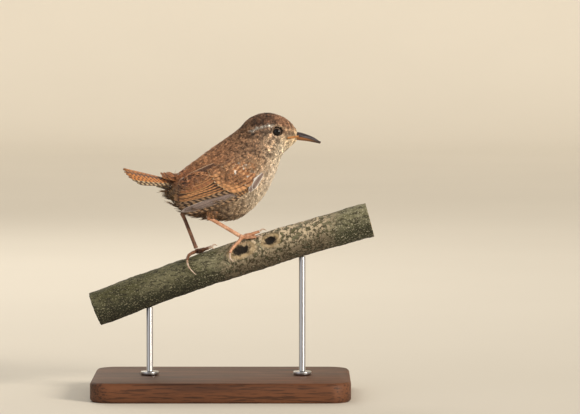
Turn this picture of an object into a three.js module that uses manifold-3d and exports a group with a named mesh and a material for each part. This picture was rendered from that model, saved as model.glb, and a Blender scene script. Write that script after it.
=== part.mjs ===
// A wren, life size, standing along a cut length of branch that two rods hold over a flat wooden base.
// Units are millimetres. The bird faces +X, its left side is +Y and +Z is up. The origin is the middle of
// the base's underside. Flat outlines are written as [x, z], seen from the bird's right side.

import * as THREE from "three";
import { mergeVertices } from "three/addons/utils/BufferGeometryUtils.js";
import Module from "manifold-3d";

const wasm = await Module();
wasm.setup();

// Driving dimensions
const GAP = 0.3; // clear width between pieces that touch
const WELD = 1e-4;
const SLIVER = 0.07; // edges shorter than this close up after a join
const SIDES = { right: -1, left: 1 };

// The trunk, neck and head are one egg-shaped section swept from the vent to the bill's root. top and bottom
// are the outline of the plumage, half is half the width, and widest is how far up the section that lies.
const BODY_STATIONS = [
  { name: "vent", top: [-21.0, 100.8], bottom: [-25.6, 92.6], half: 4.6, widest: 0.5 },
  { name: "rump", top: [-14.1, 106.5], bottom: [-19.0, 84.8], half: 9.4, widest: 0.5 },
  { name: "loin", top: [-5.0, 113.3], bottom: [-6.4, 80.8], half: 12.4, widest: 0.5 },
  { name: "back", top: [3.2, 119.0], bottom: [7.0, 80.6], half: 13.6, widest: 0.47 },
  { name: "shoulder", top: [8.2, 122.9], bottom: [18.7, 90.0], half: 12.8, widest: 0.45 },
  { name: "nape", top: [12.3, 127.2], bottom: [25.2, 101.9], half: 10.4, widest: 0.47 },
  { name: "crown", top: [20.0, 129.9], bottom: [28.2, 110.2], half: 8.8, widest: 0.5 },
  { name: "forehead", top: [28.2, 128.1], bottom: [31.4, 113.3], half: 6.8, widest: 0.48 },
  { name: "lores", top: [33.2, 124.0], bottom: [34.3, 116.1], half: 3.7, widest: 0.45 },
  { name: "bill_root", top: [35.3, 121.0], bottom: [35.5, 116.9], half: 2.0, widest: 0.45 },
];
const BODY_RINGS = 33;
const BODY_SIDES = 24;
const NECK_REAR = 4.55; // station numbers where the neck starts and ends
const NECK_FRONT = 5.45;

const EYE = { at: [26.0, 121.3], radius: 2.4, seen: 1.75, lidTube: 0.5, lidSpan: 2.1 };
const MOUTH_CORNER = [30.2, 118.2];
const MOUTH_ROOT = [35.2, 118.8];
const LIP = { radius: 0.42, spacing: 0.46 };

const BILL = {
  culmen: [[35.7, 120.5], [38.8, 119.5], [42.4, 118.0], [45.4, 115.9]],
  cutting: [[35.7, 118.6], [39.4, 117.7], [42.6, 116.8], [45.4, 115.9]],
  gonys: [[35.7, 117.0], [39.4, 116.6], [42.6, 116.0], [45.0, 115.5]],
  halfWidths: [1.95, 1.3, 0.8, 0.22],
  nostril: { at: [37.5, 119.1], length: 0.75, height: 0.28, depth: 0.5 },
};

// The outlines of long and short vanes, as [share of the length, share of the full width]
const LONG_VANE = [[0, 0.5], [0.4, 0.95], [0.8, 0.95], [0.95, 0.55], [1, 0.16]];
const SHORT_VANE = [[0, 0.5], [0.5, 1], [0.88, 0.7], [1, 0.2]];
const VANE_THICKNESS = 0.5;

// The folded wing lies on the flank. Each tract has its first and last root, and the bend of its tips.
// Lifts are heights over the flank, at the roots and at the tips of the first and last feather.
const WING_PAD = {
  centre: [6.8, 101.6], radii: [11.2, 6.4], turn: 0.2, rim: 0.85, crown: 1.1, rings: 4, sides: 14,
};
const WING_EDGE = { wrist: [17.5, 102.6], end: [-21, 89], wristOut: 9.8, endOut: 6.8 };
const WING_TRACTS = [
  { name: "primaries", outline: LONG_VANE, count: 6, width: 4.0, bow: -0.5, tilt: 0.15,
    roots: [[12.2, 95.9], [11.0, 98.6]], tips: [[-3.0, 89.2], [-17.6, 81.8], [-20.2, 87.6]],
    rootLift: 0.5, tipLifts: [0.45, 0.75] },
  { name: "secondaries", outline: LONG_VANE, count: 7, width: 5.0, bow: 0.5, tilt: 0.15,
    roots: [[10.2, 99.2], [-1.2, 105.4]], tips: [[-20.9, 88.6], [-21.2, 93.2], [-15.8, 97.4]],
    rootLift: 0.65, tipLifts: [1.0, 1.75] },
  { name: "primary_coverts", outline: SHORT_VANE, count: 2, width: 3.2, bow: -0.2, tilt: 0.15,
    roots: [[14.2, 96.4], [13.2, 98.2]], tips: [[3.6, 92.2], [2.2, 92.8], [1.4, 94.2]],
    rootLift: 0.9, tipLifts: [1.2, 1.35] },
  { name: "greater_coverts", outline: SHORT_VANE, count: 6, width: 4.1, bow: 0.3, tilt: 0.18,
    roots: [[13.0, 98.4], [1.6, 106.4]], tips: [[2.8, 94.6], [-2.4, 97.6], [-6.6, 102.6]],
    rootLift: 1.05, tipLifts: [1.7, 2.3] },
  { name: "median_coverts", outline: SHORT_VANE, count: 5, width: 3.8, bow: 0.2, tilt: 0.18,
    roots: [[15.8, 101.0], [5.2, 107.8]], tips: [[10.0, 97.4], [5.0, 100.2], [0.6, 104.6]],
    rootLift: 1.5, tipLifts: [2.2, 2.6] },
  { name: "alula", outline: SHORT_VANE, count: 2, width: 2.8, bow: -0.4, tilt: 0.15,
    roots: [[16.6, 101.2], [17.6, 102.6]], tips: [[9.6, 93.6], [11.2, 93.9], [12.8, 95.4]],
    rootLift: 1.1, tipLifts: [1.5, 2.1] },
];

// The tail is a low roof of twelve feathers in pairs. Its chart runs back from the root and across it.
const TAIL = {
  root: [-20.6, 98.3], rise: 11.5, pairs: 6, length: 24.6, shortening: 0.05, width: 4.2,
  rootSpread: 2.4, tipSpread: 7.2, droop: 0.42, stack: 0.36,
  core: { length: 8.5, rearHalf: 5.0, rearUp: 1.3, rearDown: 1.2, rings: 4 },
};
const UPPER_COVERTS = {
  from: [-19.4, 100.5], rise: 9, rows: 2, across: 3, length: 8.6, width: 4.4, spread: 3.2, droop: 0.5,
};
const UNDER_COVERTS = {
  from: [-23.4, 93.4], rise: 27, rows: 2, across: 4, length: 9.4, width: 3.8, spread: 3.0, droop: -0.35,
};

// The legs, each from the knee inside the plumage to the heel and the foot
const LEGS = {
  right: { knee: [4.5, -6.2, 91.0], heel: [-6.2, -7.4, 82.3], foot: { x: 12.2, turn: 22 } },
  left: { knee: [-8.5, 4.4, 93.5], heel: [-18.2, 6.0, 83.4], foot: { x: -8.3, turn: -24 } },
};
const THIGH_RADII = [4.0, 3.2, 1.7];
const THIGH_END = 1.1; // where the feathers stop, short of the heel
const HEEL_RADIUS = 1.35;
const SHANK = { along: 0.9, across: 0.68, foot: 1.0 };
const FOOT_LIFT = 1.85; // the foot joint's middle over the bark
const FOOT_JOINT = 1.2;
const TOE_RADII = [0.9, 0.68];
const TOE_KNUCKLES = 3;

// Each toe runs from the foot joint over the bark through [x, turn round the branch in degrees]. Turns are
// positive towards the bird's right. The last leg of the route is the claw.
const TOES = {
  right: {
    hallux: { route: [[10.2, 34], [7.2, 50], [5.4, 64]], claw: [[4.8, 80], [6.0, 92]] },
    inner: { route: [[14.1, 4], [15.7, -16], [16.9, -32]], claw: [[17.6, -42], [18.1, -52]] },
    middle: { route: [[14.7, 14], [17.5, 7], [20.1, 4]], claw: [[21.7, 3], [23.1, 3]] },
    outer: { route: [[14.3, 26], [16.3, 31], [18.1, 35]], claw: [[19.4, 38], [20.6, 43]] },
  },
  left: {
    hallux: { route: [[-10.1, -4], [-12.1, 18], [-13.2, 38]], claw: [[-13.4, 66], [-11.6, 92]] },
    inner: { route: [[-6.6, -8], [-4.8, 8], [-3.2, 16]], claw: [[-1.9, 20], [-0.7, 25]] },
    middle: { route: [[-6.0, -22], [-3.6, -14], [-1.8, -10]], claw: [[-0.4, -9], [0.8, -9]] },
    outer: { route: [[-6.8, -38], [-5.6, -56], [-4.8, -68]], claw: [[-4.4, -78], [-4.2, -88]] },
  },
};
const CLAW = { radius: 0.52, tip: 0.14, arch: 0.75, tipLift: 0.5 };

const PERCH = { low: [-58, 39.2], middle: [5, 63.6], high: [68, 80.4], radius: 8.0, rings: 32, sides: 18 };
const PERCH_KNOTS = [
  { x: 10.5, turn: 84, long: 4.6, wide: 2.6, rim: 0.9, pit: 1.9 },
  { x: 25.0, turn: 62, long: 3.4, wide: 2.4, rim: 0.8, pit: 1.4 },
  { x: -19.0, turn: -12, long: 2.4, wide: 2.6, rim: 0.2, pit: -0.9 },
];
const BARK_WAVES = [[0.11, 2, 0.4, 0.16], [0.19, 3, 2.1, 0.12], [0.37, 1, 4.0, 0.1], [0.62, 5, 1.3, 0.07]];

const BASE = { length: 118, width: 74, height: 9, corner: 9, bevel: 1.1 };
const ROD = { radius: 1.5, flange: 4.2, flangeHeight: 1.5, sides: 16, places: [-33, 37] };

// Colours of the plumage, horn, skin, bark and stand
const finish = (color, roughness, metalness = 0) => {
  return new THREE.MeshStandardMaterial({ color, roughness, metalness });
};
const FINISHES = {
  plumage: finish(0x9a6a42, 0.9),
  head: finish(0x8a6444, 0.9),
  wing: finish(0x96592c, 0.85),
  tail: finish(0xa35a22, 0.85),
  billUpper: finish(0x3a2d2a, 0.4),
  billLower: finish(0xb07c45, 0.45),
  eye: finish(0x0b0908, 0.08),
  leg: finish(0xc98a6c, 0.6),
  claw: finish(0xcdb4a2, 0.4),
  bark: finish(0x6a6a4e, 0.9),
  wood: finish(0x4a2f1e, 0.5),
  steel: finish(0x9a9a9c, 0.3, 1),
};

// Small helpers
const vec = (x, y, z) => new THREE.Vector3(x, y, z);
const flat = ([x, z]) => new THREE.Vector2(x, z);
const side = ([x, z]) => vec(x, 0, z);
const radians = THREE.MathUtils.degToRad;
const { lerp } = THREE.MathUtils;
const range = (n) => Array.from({ length: n }, (_, i) => i);

// A closed geometry from points and triangles, turned to face outwards.
function closedGeometry(points, triangles) {
  const volume = triangles.reduce((sum, [a, b, c]) => {
    return sum + points[a].dot(points[b].clone().cross(points[c]));
  }, 0);
  const outward = volume < 0 ? triangles.map(([a, b, c]) => [a, c, b]) : triangles;
  return new THREE.BufferGeometry().setFromPoints(points).setIndex(outward.flat());
}

// The solid between rings of equal length, with a fan over each end.
function loft(rings) {
  const n = rings[0].length;
  const points = rings.flat();
  const triangles = [];
  for (let i = 0; i + 1 < rings.length; i++)
    for (let j = 0; j < n; j++) {
      const [a, b] = [i * n + j, i * n + ((j + 1) % n)];
      triangles.push([a, b, b + n], [a, b + n, a + n]);
    }
  for (const end of [0, rings.length - 1]) {
    const middle = points.length;
    points.push(rings[end].reduce((sum, p) => sum.add(p), vec(0, 0, 0)).divideScalar(n));
    for (let j = 0; j < n; j++) {
      const fan = [middle, end * n + j, end * n + ((j + 1) % n)];
      triangles.push(end === 0 ? [fan[0], fan[2], fan[1]] : fan);
    }
  }
  return closedGeometry(points, triangles);
}

// The thin solid between two grids of points, split into triangles alike on both faces.
function sheetSolid(top, bottom) {
  const [rows, cols] = [top.length, top[0].length];
  const points = [...top.flat(), ...bottom.flat()];
  const under = rows * cols;
  const triangles = [];
  for (let i = 0; i + 1 < rows; i++)
    for (let j = 0; j + 1 < cols; j++) {
      const [a, b] = [i * cols + j, (i + 1) * cols + j];
      triangles.push([a, a + 1, b + 1], [a, b + 1, b]);
      triangles.push([under + a, under + b + 1, under + a + 1], [under + a, under + b, under + b + 1]);
    }
  const rim = [
    ...range(cols),
    ...range(rows - 1).map((i) => (i + 2) * cols - 1),
    ...range(cols - 1).map((j) => rows * cols - 2 - j),
    ...range(rows - 2).map((i) => (rows - 2 - i) * cols),
  ];
  rim.forEach((a, i) => {
    const b = rim[(i + 1) % rim.length];
    triangles.push([a, a + under, b + under], [a, b + under, b]);
  });
  return closedGeometry(points, triangles);
}

// A tube along part of a curve, with sideways and upright radii that follow the share of that part.
function tube(curve, from, to, radii, rings, sides, upright) {
  const across = vec();
  const hint = (upright ?? vec(0, 1, 0)).clone();
  return loft(range(rings).map((i) => {
    const share = i / (rings - 1);
    const u = lerp(from, to, share);
    const [centre, tangent] = [curve.getPointAt(u), curve.getTangentAt(u)];
    hint.addScaledVector(tangent, -hint.dot(tangent)).normalize();
    across.crossVectors(tangent, hint);
    const [wide, tall = wide] = [radii(share)].flat();
    return range(sides).map((j) => {
      const angle = (2 * Math.PI * j) / sides;
      const point = centre.clone().addScaledVector(hint, Math.cos(angle) * wide);
      return point.addScaledVector(across, Math.sin(angle) * tall);
    });
  }));
}

// A manifold solid from a geometry, and back.
function solid(geometry) {
  const bare = geometry.clone();
  for (const name of Object.keys(bare.attributes)) if (name !== "position") bare.deleteAttribute(name);
  const { attributes, index } = mergeVertices(bare, WELD);
  const vertProperties = new Float32Array(attributes.position.array);
  const triVerts = new Uint32Array(index.array);
  return new wasm.Manifold(new wasm.Mesh({ numProp: 3, vertProperties, triVerts }));
}

function geometryOf(made) {
  const { vertProperties, triVerts } = made.getMesh();
  return new THREE.BufferGeometry()
    .setAttribute("position", new THREE.BufferAttribute(new Float32Array(vertProperties), 3))
    .setIndex(new THREE.BufferAttribute(new Uint32Array(triVerts), 1));
}

const joined = (geometries) => geometries.map(solid).reduce((sum, piece) => sum.add(piece));

// The largest closed surface of a solid, without slivers, so that a scrap or a sealed hollow drops out.
const largest = (made) => {
  return made.simplify(SLIVER).decompose().reduce((a, b) => (b.volume() > a.volume() ? b : a));
};

// The trunk, neck and head

const stationCurve = (pick) => new THREE.CatmullRomCurve3(BODY_STATIONS.map(pick), false, "centripetal");
const topLine = stationCurve((s) => side(s.top));
const bottomLine = stationCurve((s) => side(s.bottom));
const girth = stationCurve((s) => vec(s.half, s.widest, 0));
const stationShare = (number) => number / (BODY_STATIONS.length - 1);

// One egg-shaped section, made larger all round by swell.
function bodyRing(share, swell) {
  const [top, bottom, shape] = [topLine, bottomLine, girth].map((line) => line.getPoint(share));
  const up = top.clone().sub(bottom);
  const height = up.length();
  up.normalize();
  const middle = bottom.clone().addScaledVector(up, height * shape.y);
  return range(BODY_SIDES).map((j) => {
    const angle = (2 * Math.PI * j) / BODY_SIDES;
    const reach = (Math.cos(angle) > 0 ? height * (1 - shape.y) : height * shape.y) + swell;
    return middle.clone().addScaledVector(up, Math.cos(angle) * reach)
      .add(vec(0, Math.sin(angle) * (shape.x + swell), 0));
  });
}

const bodyGeometry = (swell) => loft(range(BODY_RINGS).map((i) => bodyRing(i / (BODY_RINGS - 1), swell)));

// The plane of a section: its normal, which points to the bill, and its distance from the origin.
function sectionPlane(share) {
  const [top, bottom] = [topLine.getPoint(share), bottomLine.getPoint(share)];
  const normal = top.clone().sub(bottom).normalize().cross(vec(0, 1, 0)).negate();
  if (normal.x < 0) normal.negate();
  return { normal, offset: normal.dot(top) };
}

const ahead = (made, { normal, offset }, gap) => made.trimByPlane(normal.toArray(), offset + gap / 2);
const behind = (made, { normal, offset }, gap) => {
  return ahead(made, { normal: normal.clone().negate(), offset: -offset }, gap);
};

const wholeBody = bodyGeometry(0);
const sleeve = bodyGeometry(GAP);
const sleeveMesh = new THREE.Mesh(sleeve, new THREE.MeshBasicMaterial({ side: THREE.DoubleSide }));
const ray = new THREE.Raycaster();

// How far the plumage reaches sideways at a point of the side view, or 0 past its outline.
function flankOut(x, z) {
  ray.set(vec(x, -100, z), vec(0, 1, 0));
  const [hit] = ray.intersectObject(sleeveMesh);
  return hit ? -hit.point.y : 0;
}

const rearPlane = sectionPlane(stationShare(NECK_REAR));
const frontPlane = sectionPlane(stationShare(NECK_FRONT));
const bodySolid = solid(wholeBody);
const torso = behind(bodySolid, rearPlane, GAP);
const neck = behind(ahead(bodySolid, rearPlane, GAP), frontPlane, GAP);

// The eyes sit in sockets, each with a ring of lids round what shows.
function eyePlace(sign) {
  const [x, z] = EYE.at;
  const step = 0.5;
  const surface = flankOut(x, z) - GAP;
  const slope = vec(
    (flankOut(x - step, z) - flankOut(x + step, z)) / (2 * step), sign,
    (flankOut(x, z - step) - flankOut(x, z + step)) / (2 * step),
  ).normalize();
  const sunk = Math.sqrt(EYE.radius ** 2 - EYE.seen ** 2);
  const centre = vec(x, sign * surface, z).addScaledVector(slope, -sunk);
  return { centre, slope, surface: vec(x, sign * surface, z) };
}

const ball = (radius, centre, across, around) => {
  return new THREE.SphereGeometry(radius, across, around).translate(centre.x, centre.y, centre.z);
};

function lids(sign) {
  const { slope, surface } = eyePlace(sign);
  const ring = new THREE.TorusGeometry(EYE.lidSpan, EYE.lidTube, 5, 16);
  ring.applyQuaternion(new THREE.Quaternion().setFromUnitVectors(vec(0, 0, 1), slope));
  return ring.translate(surface.x, surface.y, surface.z);
}

// The soft gape runs back from the bill to the mouth's corner as two lips with a line between them.
function lip(sign, level) {
  const points = range(5).map((i) => {
    const [x, z] = [0, 1].map((axis) => lerp(MOUTH_CORNER[axis], MOUTH_ROOT[axis], i / 4));
    const height = z + (level * LIP.spacing * (i + 1)) / 5;
    return vec(x, sign * (flankOut(x, height) - GAP - 0.1), height);
  });
  const radius = (share) => LIP.radius * (0.45 + 0.55 * Math.sqrt(share));
  return tube(new THREE.CatmullRomCurve3(points), 0, 1, radius, 5, 6);
}

function headSolid() {
  const extras = Object.values(SIDES).flatMap((sign) => [lids(sign), lip(sign, 1), lip(sign, -1)]);
  const sockets = Object.values(SIDES).map((sign) => ball(EYE.radius + GAP, eyePlace(sign).centre, 14, 10));
  const face = extras.map(solid).reduce((sum, piece) => sum.add(piece), ahead(bodySolid, frontPlane, GAP));
  return largest(face.subtract(joined(sockets)).trimByPlane([-1, 0, 0], -BILL.culmen[0][0] + GAP));
}

// The bill

function billHalf(level) {
  const edge = level > 0 ? BILL.culmen : BILL.gonys;
  const [ridge, cutting] = [edge, BILL.cutting].map((line) => new THREE.CatmullRomCurve3(line.map(side)));
  const widths = new THREE.CatmullRomCurve3(BILL.halfWidths.map((w, i) => vec(i, w, 0)));
  const arc = 7;
  return loft(range(12).map((i) => {
    const share = i / 11;
    const [top, bottom, half] = [ridge.getPoint(share), cutting.getPoint(share), widths.getPoint(share).y];
    const tall = Math.max(level * (top.z - bottom.z) - GAP / 2, 0.1);
    return range(arc).map((j) => {
      const angle = (Math.PI * j) / (arc - 1);
      const rise = level * (GAP / 2 + Math.sin(angle) * tall);
      return vec(lerp(bottom.x, top.x, Math.sin(angle)), Math.cos(angle) * half, bottom.z + rise);
    });
  }));
}

function billUpper() {
  const { at: [x, z], length, height, depth } = BILL.nostril;
  const pits = Object.values(SIDES).map((sign) => {
    const pit = new THREE.SphereGeometry(1, 10, 8).scale(length, depth, height);
    return pit.rotateY(0.25).translate(x, sign * 1.6, z);
  });
  return solid(billHalf(1)).subtract(joined(pits));
}

// Feathers

// One flat feather laid in a chart, a function from a flat place and a height to a point in space.
function vane(chart, outline, { root, tip, bow, width, rootLift, tipLift, tilt }) {
  const along = tip.clone().sub(root);
  const across = new THREE.Vector2(-along.y, along.x).normalize();
  const face = (level) => outline.map(([v, share]) => [-1, 1].map((edge) => {
    const out = (edge * width * share) / 2;
    const place = root.clone().addScaledVector(along, v).addScaledVector(across, bow * 4 * v * (1 - v) + out);
    return chart(place, lerp(rootLift, tipLift, v) + out * tilt + (level * VANE_THICKNESS) / 2);
  }));
  return sheetSolid(face(1), face(-1));
}

// The folded wing's chart: the flank, eased into a slope that carries the feather tips past it.
function wingOut(x, z) {
  const { wrist, end, wristOut, endOut } = WING_EDGE;
  const share = (wrist[0] - x) / (wrist[0] - end[0]);
  const slope = lerp(wristOut, endOut, share);
  const flank = flankOut(x, z);
  return (flank + slope + Math.sqrt((flank - slope) ** 2 + 0.6)) / 2;
}

const wingChart = (sign) => (place, lift) => {
  const step = 0.6;
  const out = wingOut(place.x, place.y);
  const normal = vec(
    (wingOut(place.x - step, place.y) - wingOut(place.x + step, place.y)) / (2 * step), 1,
    (wingOut(place.x, place.y - step) - wingOut(place.x, place.y + step)) / (2 * step),
  ).normalize();
  return vec(place.x, out, place.y).addScaledVector(normal, lift).multiply(vec(1, sign, 1));
};

// The wing's fleshy part, a low dome under the coverts that every feather is rooted in.
function wingPad(chart) {
  const { centre, radii, turn, rim, crown, rings, sides } = WING_PAD;
  const disc = (lift) => range(rings).map((i) => range(sides).map((j) => {
    const [share, angle] = [(i + 1) / rings, (2 * Math.PI * j) / sides];
    const place = new THREE.Vector2(Math.cos(angle) * radii[0] * share, Math.sin(angle) * radii[1] * share);
    return chart(place.rotateAround(new THREE.Vector2(), turn).add(flat(centre)), lift(share));
  }));
  return loft([...disc(() => 0.2), ...disc((share) => rim + crown * (1 - share ** 2)).reverse()]);
}

function tractFeathers(chart, { outline, count, roots, tips, width, rootLift, tipLifts, bow, tilt }) {
  const tipLine = new THREE.QuadraticBezierCurve(...tips.map(flat));
  return range(count).map((i) => {
    const share = count > 1 ? i / (count - 1) : 0;
    const root = flat(roots[0]).lerp(flat(roots[1]), share);
    const lift = { rootLift: rootLift + 0.023 * i, tipLift: lerp(tipLifts[0], tipLifts[1], share) };
    return vane(chart, outline, { root, tip: tipLine.getPoint(share), bow, width, tilt, ...lift });
  });
}

function wingSolid(sign) {
  const chart = wingChart(sign);
  const feathers = WING_TRACTS.flatMap((tract) => tractFeathers(chart, tract));
  return largest(joined([wingPad(chart), ...feathers]).subtract(solid(sleeve)));
}

// A chart for the tail and its coverts: it runs back from a point at a rise, and falls away to both sides.
const tailChart = ([x, z], rise, droop) => (place, lift) => {
  const [c, s] = [Math.cos(radians(rise)), Math.sin(radians(rise))];
  const height = lift - droop * Math.sqrt(place.y ** 2 + 1);
  return vec(x - place.x * c + height * s, place.y, z + place.x * s + height * c);
};

// A row of coverts over or under the tail's root.
function tailCoverts({ from, rise, rows, across, length, width, spread, droop }, level) {
  const chart = tailChart(from, rise, droop);
  return range(rows).flatMap((row) => range(across).map((i) => {
    const out = lerp(-1, 1, i / (across - 1)) * (1 - 0.12 * row);
    const reach = length * (0.62 + (0.38 * (row + 1)) / rows) - Math.abs(out) * 1.6;
    return vane(chart, SHORT_VANE, {
      root: new THREE.Vector2(-1.5 + row * 2.2, out * spread * 0.8),
      tip: new THREE.Vector2(reach, out * spread * 1.15),
      bow: 0, width, tilt: 0, rootLift: -level * 0.4, tipLift: level * (0.9 - 0.3 * row + 0.12 * (i % 2)),
    });
  }));
}

function tailSolid() {
  const { root, rise, pairs, length, shortening, width, rootSpread, tipSpread, droop, stack, core } = TAIL;
  const chart = tailChart(root, rise, droop);
  const feathers = range(pairs).flatMap((i) => Object.values(SIDES).map((sign) => {
    const share = i / (pairs - 1);
    const reach = length * (1 - shortening * i * (0.4 + 0.16 * i));
    return vane(chart, LONG_VANE, {
      root: new THREE.Vector2(1.5, sign * rootSpread * (share + 0.1)),
      tip: new THREE.Vector2(reach, sign * lerp(0.9, tipSpread, share)),
      bow: sign * 0.25 * share, width, tilt: 0,
      rootLift: 0.2 - 0.12 * i, tipLift: 0.9 - stack * i + 0.18 * sign,
    });
  }));
  // The core fills the coverts' roots, from the trunk's rear face to the feathers.
  const face = bodyRing(0, -0.1);
  const plane = sectionPlane(0);
  const coreRings = range(core.rings).map((i) => {
    const share = i / (core.rings - 1);
    const middle = chart(new THREE.Vector2(share * core.length, 0), 0.2);
    return face.map((p, j) => {
      const angle = (2 * Math.PI * j) / face.length;
      const tall = Math.cos(angle) > 0 ? core.rearUp : core.rearDown;
      const out = Math.sin(angle) * core.rearHalf;
      const rear = middle.clone().add(vec(0, out, Math.cos(angle) * tall - 0.35 * droop * Math.abs(out)));
      return p.clone().addScaledVector(plane.normal, -GAP).lerp(rear, share);
    });
  });
  const coverts = [...tailCoverts(UPPER_COVERTS, 1), ...tailCoverts(UNDER_COVERTS, -1)];
  return largest(behind(joined([loft(coreRings), ...feathers, ...coverts]), plane, 2 * GAP));
}

// The perch

const perchLine = new THREE.QuadraticBezierCurve3(side(PERCH.low), side(PERCH.middle), side(PERCH.high));

function perchRadius(x, turn) {
  const angle = radians(turn);
  const waves = BARK_WAVES.map(([pitch, count, phase, size]) => {
    return size * Math.sin(pitch * x + count * angle + phase);
  });
  const knots = PERCH_KNOTS.map((knot) => {
    const apart = THREE.MathUtils.euclideanModulo(turn - knot.turn + 180, 360) - 180;
    const reach = Math.hypot((x - knot.x) / knot.long, (radians(apart) * PERCH.radius) / knot.wide);
    return knot.rim * Math.exp(-((reach - 1.25) ** 2) * 3) - knot.pit * Math.exp(-(reach ** 2) * 1.6);
  });
  return [...waves, ...knots].reduce((sum, part) => sum + part, PERCH.radius);
}

// A point over the bark at x, turned round the branch from its top towards the bird's right.
function overBark(x, turn, lift) {
  const share = (x - PERCH.low[0]) / (PERCH.high[0] - PERCH.low[0]);
  const [centre, tangent] = [perchLine.getPoint(share), perchLine.getTangent(share)];
  const up = vec(-tangent.z, 0, tangent.x);
  const reach = perchRadius(x, turn) + lift;
  const outward = vec(0, -Math.sin(radians(turn)), 0).addScaledVector(up, Math.cos(radians(turn)));
  return centre.addScaledVector(outward, reach);
}

function perchGeometry(lift) {
  const { low, high, rings, sides } = PERCH;
  return loft(range(rings).map((i) => {
    const x = lerp(low[0], high[0], i / (rings - 1));
    return range(sides).map((j) => overBark(x, (360 * j) / sides, lift));
  }));
}

// The legs

function legNodes(name) {
  const { knee, heel, foot } = LEGS[name];
  const clearBark = solid(perchGeometry(GAP));
  const [kneeAt, heelAt] = [vec(...knee), vec(...heel)];
  const footAt = overBark(foot.x, foot.turn, FOOT_LIFT);
  const toHeel = heelAt.clone().sub(kneeAt).normalize();
  const thighTube = (swell) => {
    const end = heelAt.clone().addScaledVector(toHeel, swell - THIGH_END);
    const line = new THREE.CatmullRomCurve3([kneeAt, kneeAt.clone().lerp(end, 0.5), end]);
    return solid(tube(line, 0, 1, (share) => {
      const [from, to] = share < 0.5 ? THIGH_RADII : THIGH_RADII.slice(1);
      return lerp(from, to, (share * 2) % 1.0001) + swell;
    }, 9, 16));
  };
  const thigh = thighTube(0).subtract(solid(sleeve));

  // The shank starts as the heel joint and swells again towards the foot.
  const shankStart = heelAt.clone().addScaledVector(toHeel, -THIGH_END);
  const toFoot = footAt.clone().sub(heelAt).normalize();
  const shankEnd = footAt.clone().addScaledVector(toFoot, -FOOT_JOINT - GAP);
  const shankLine = new THREE.CatmullRomCurve3([
    shankStart, heelAt, heelAt.clone().lerp(shankEnd, 0.2), heelAt.clone().lerp(shankEnd, 0.7), shankEnd,
  ]);
  const shankRadius = (share) => {
    const heelShare = Math.exp(-((share / 0.1) ** 2));
    const footShare = Math.max(0, share - 0.82) / 0.18;
    return [SHANK.across, SHANK.along].map((radius) => {
      return lerp(lerp(radius, HEEL_RADIUS, heelShare), SHANK.foot, footShare ** 2);
    });
  };
  const wholeShank = solid(tube(shankLine, 0, 1, shankRadius, 12, 9));
  const shank = wholeShank.subtract(solid(sleeve)).subtract(thighTube(GAP));

  // The foot joint, a short stub up to the shank, and the four toes
  const stubEnd = footAt.clone().addScaledVector(toFoot, -FOOT_JOINT);
  const stub = tube(new THREE.LineCurve3(stubEnd, footAt), 0, 1, () => SHANK.foot, 2, 8);
  const toes = Object.entries(TOES[name]).map(([toe, { route, claw }]) => {
    const toeRadius = (share) => {
      const knuckle = 1 + 0.1 * Math.cos(2 * Math.PI * TOE_KNUCKLES * share);
      return lerp(TOE_RADII[0], TOE_RADII[1], share) * knuckle;
    };
    const points = [
      footAt,
      ...route.map(([x, turn], i) => overBark(x, turn, GAP + toeRadius((i + 1) / route.length))),
      overBark(...claw[0], CLAW.arch + GAP + CLAW.radius),
      overBark(...claw[1], CLAW.tipLift),
    ];
    const line = new THREE.CatmullRomCurve3(points);
    const clawFrom = clawShare(line, points[route.length]);
    const gapShare = GAP / line.getLength();
    const clawRadius = (share) => lerp(CLAW.radius, CLAW.tip, share ** 1.3);
    return {
      toe: tube(line, 0, clawFrom, toeRadius, 10, 7),
      name: `claw_${name}_${toe}`,
      claw: solid(tube(line, clawFrom + gapShare, 1, clawRadius, 7, 6)).subtract(clearBark),
    };
  });
  const footPieces = [ball(FOOT_JOINT, footAt, 9, 6), stub, ...toes.map((t) => t.toe)];
  const footSolid = joined(footPieces).subtract(clearBark);
  return [
    [`thigh_${name}`, largest(thigh), FINISHES.plumage],
    [`shank_${name}`, largest(shank), FINISHES.leg],
    [`foot_${name}`, largest(footSolid), FINISHES.leg],
    ...toes.map((t) => [t.name, largest(t.claw), FINISHES.claw]),
  ];
}

// The share of a line's length at which it passes nearest to a point.
function clawShare(line, point) {
  const shares = range(201).map((i) => i / 200);
  return shares.reduce((a, b) => {
    return line.getPointAt(b).distanceTo(point) < line.getPointAt(a).distanceTo(point) ? b : a;
  });
}

// The stand

function baseSolid() {
  const { length, width, height, corner, bevel } = BASE;
  const [x, y, r] = [length / 2 - bevel, width / 2 - bevel, corner];
  const outline = new THREE.Shape();
  outline.absarc(x - r, y - r, r, 0, Math.PI / 2);
  outline.absarc(r - x, y - r, r, Math.PI / 2, Math.PI);
  outline.absarc(r - x, r - y, r, Math.PI, 1.5 * Math.PI);
  outline.absarc(x - r, r - y, r, 1.5 * Math.PI, 2 * Math.PI);
  const plate = new THREE.ExtrudeGeometry(outline, {
    depth: height - 2 * bevel, bevelThickness: bevel, bevelSize: bevel, bevelSegments: 2, curveSegments: 4,
  });
  return solid(plate.translate(0, 0, bevel));
}

function rodSolid(x, clearBark) {
  const { radius, flange, flangeHeight, sides } = ROD;
  const foot = BASE.height + GAP;
  const profile = [
    [0, foot], [flange, foot], [flange, foot + flangeHeight * 0.6], [flange - 0.5, foot + flangeHeight],
    [radius, foot + flangeHeight], [radius, overBark(x, 0, 0).z], [0, overBark(x, 0, 0).z],
  ].map(([r, z]) => new THREE.Vector2(r, z));
  const turned = new THREE.LatheGeometry(profile, sides).rotateX(Math.PI / 2).translate(x, 0, 0);
  return solid(turned).subtract(clearBark).decompose().reduce((a, b) => (lowest(b) < lowest(a) ? b : a));
}

const lowest = (made) => made.boundingBox().min[2];

// Assembly

const wren = new THREE.Group();
const perch = new THREE.Group();
const stand = new THREE.Group();

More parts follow.
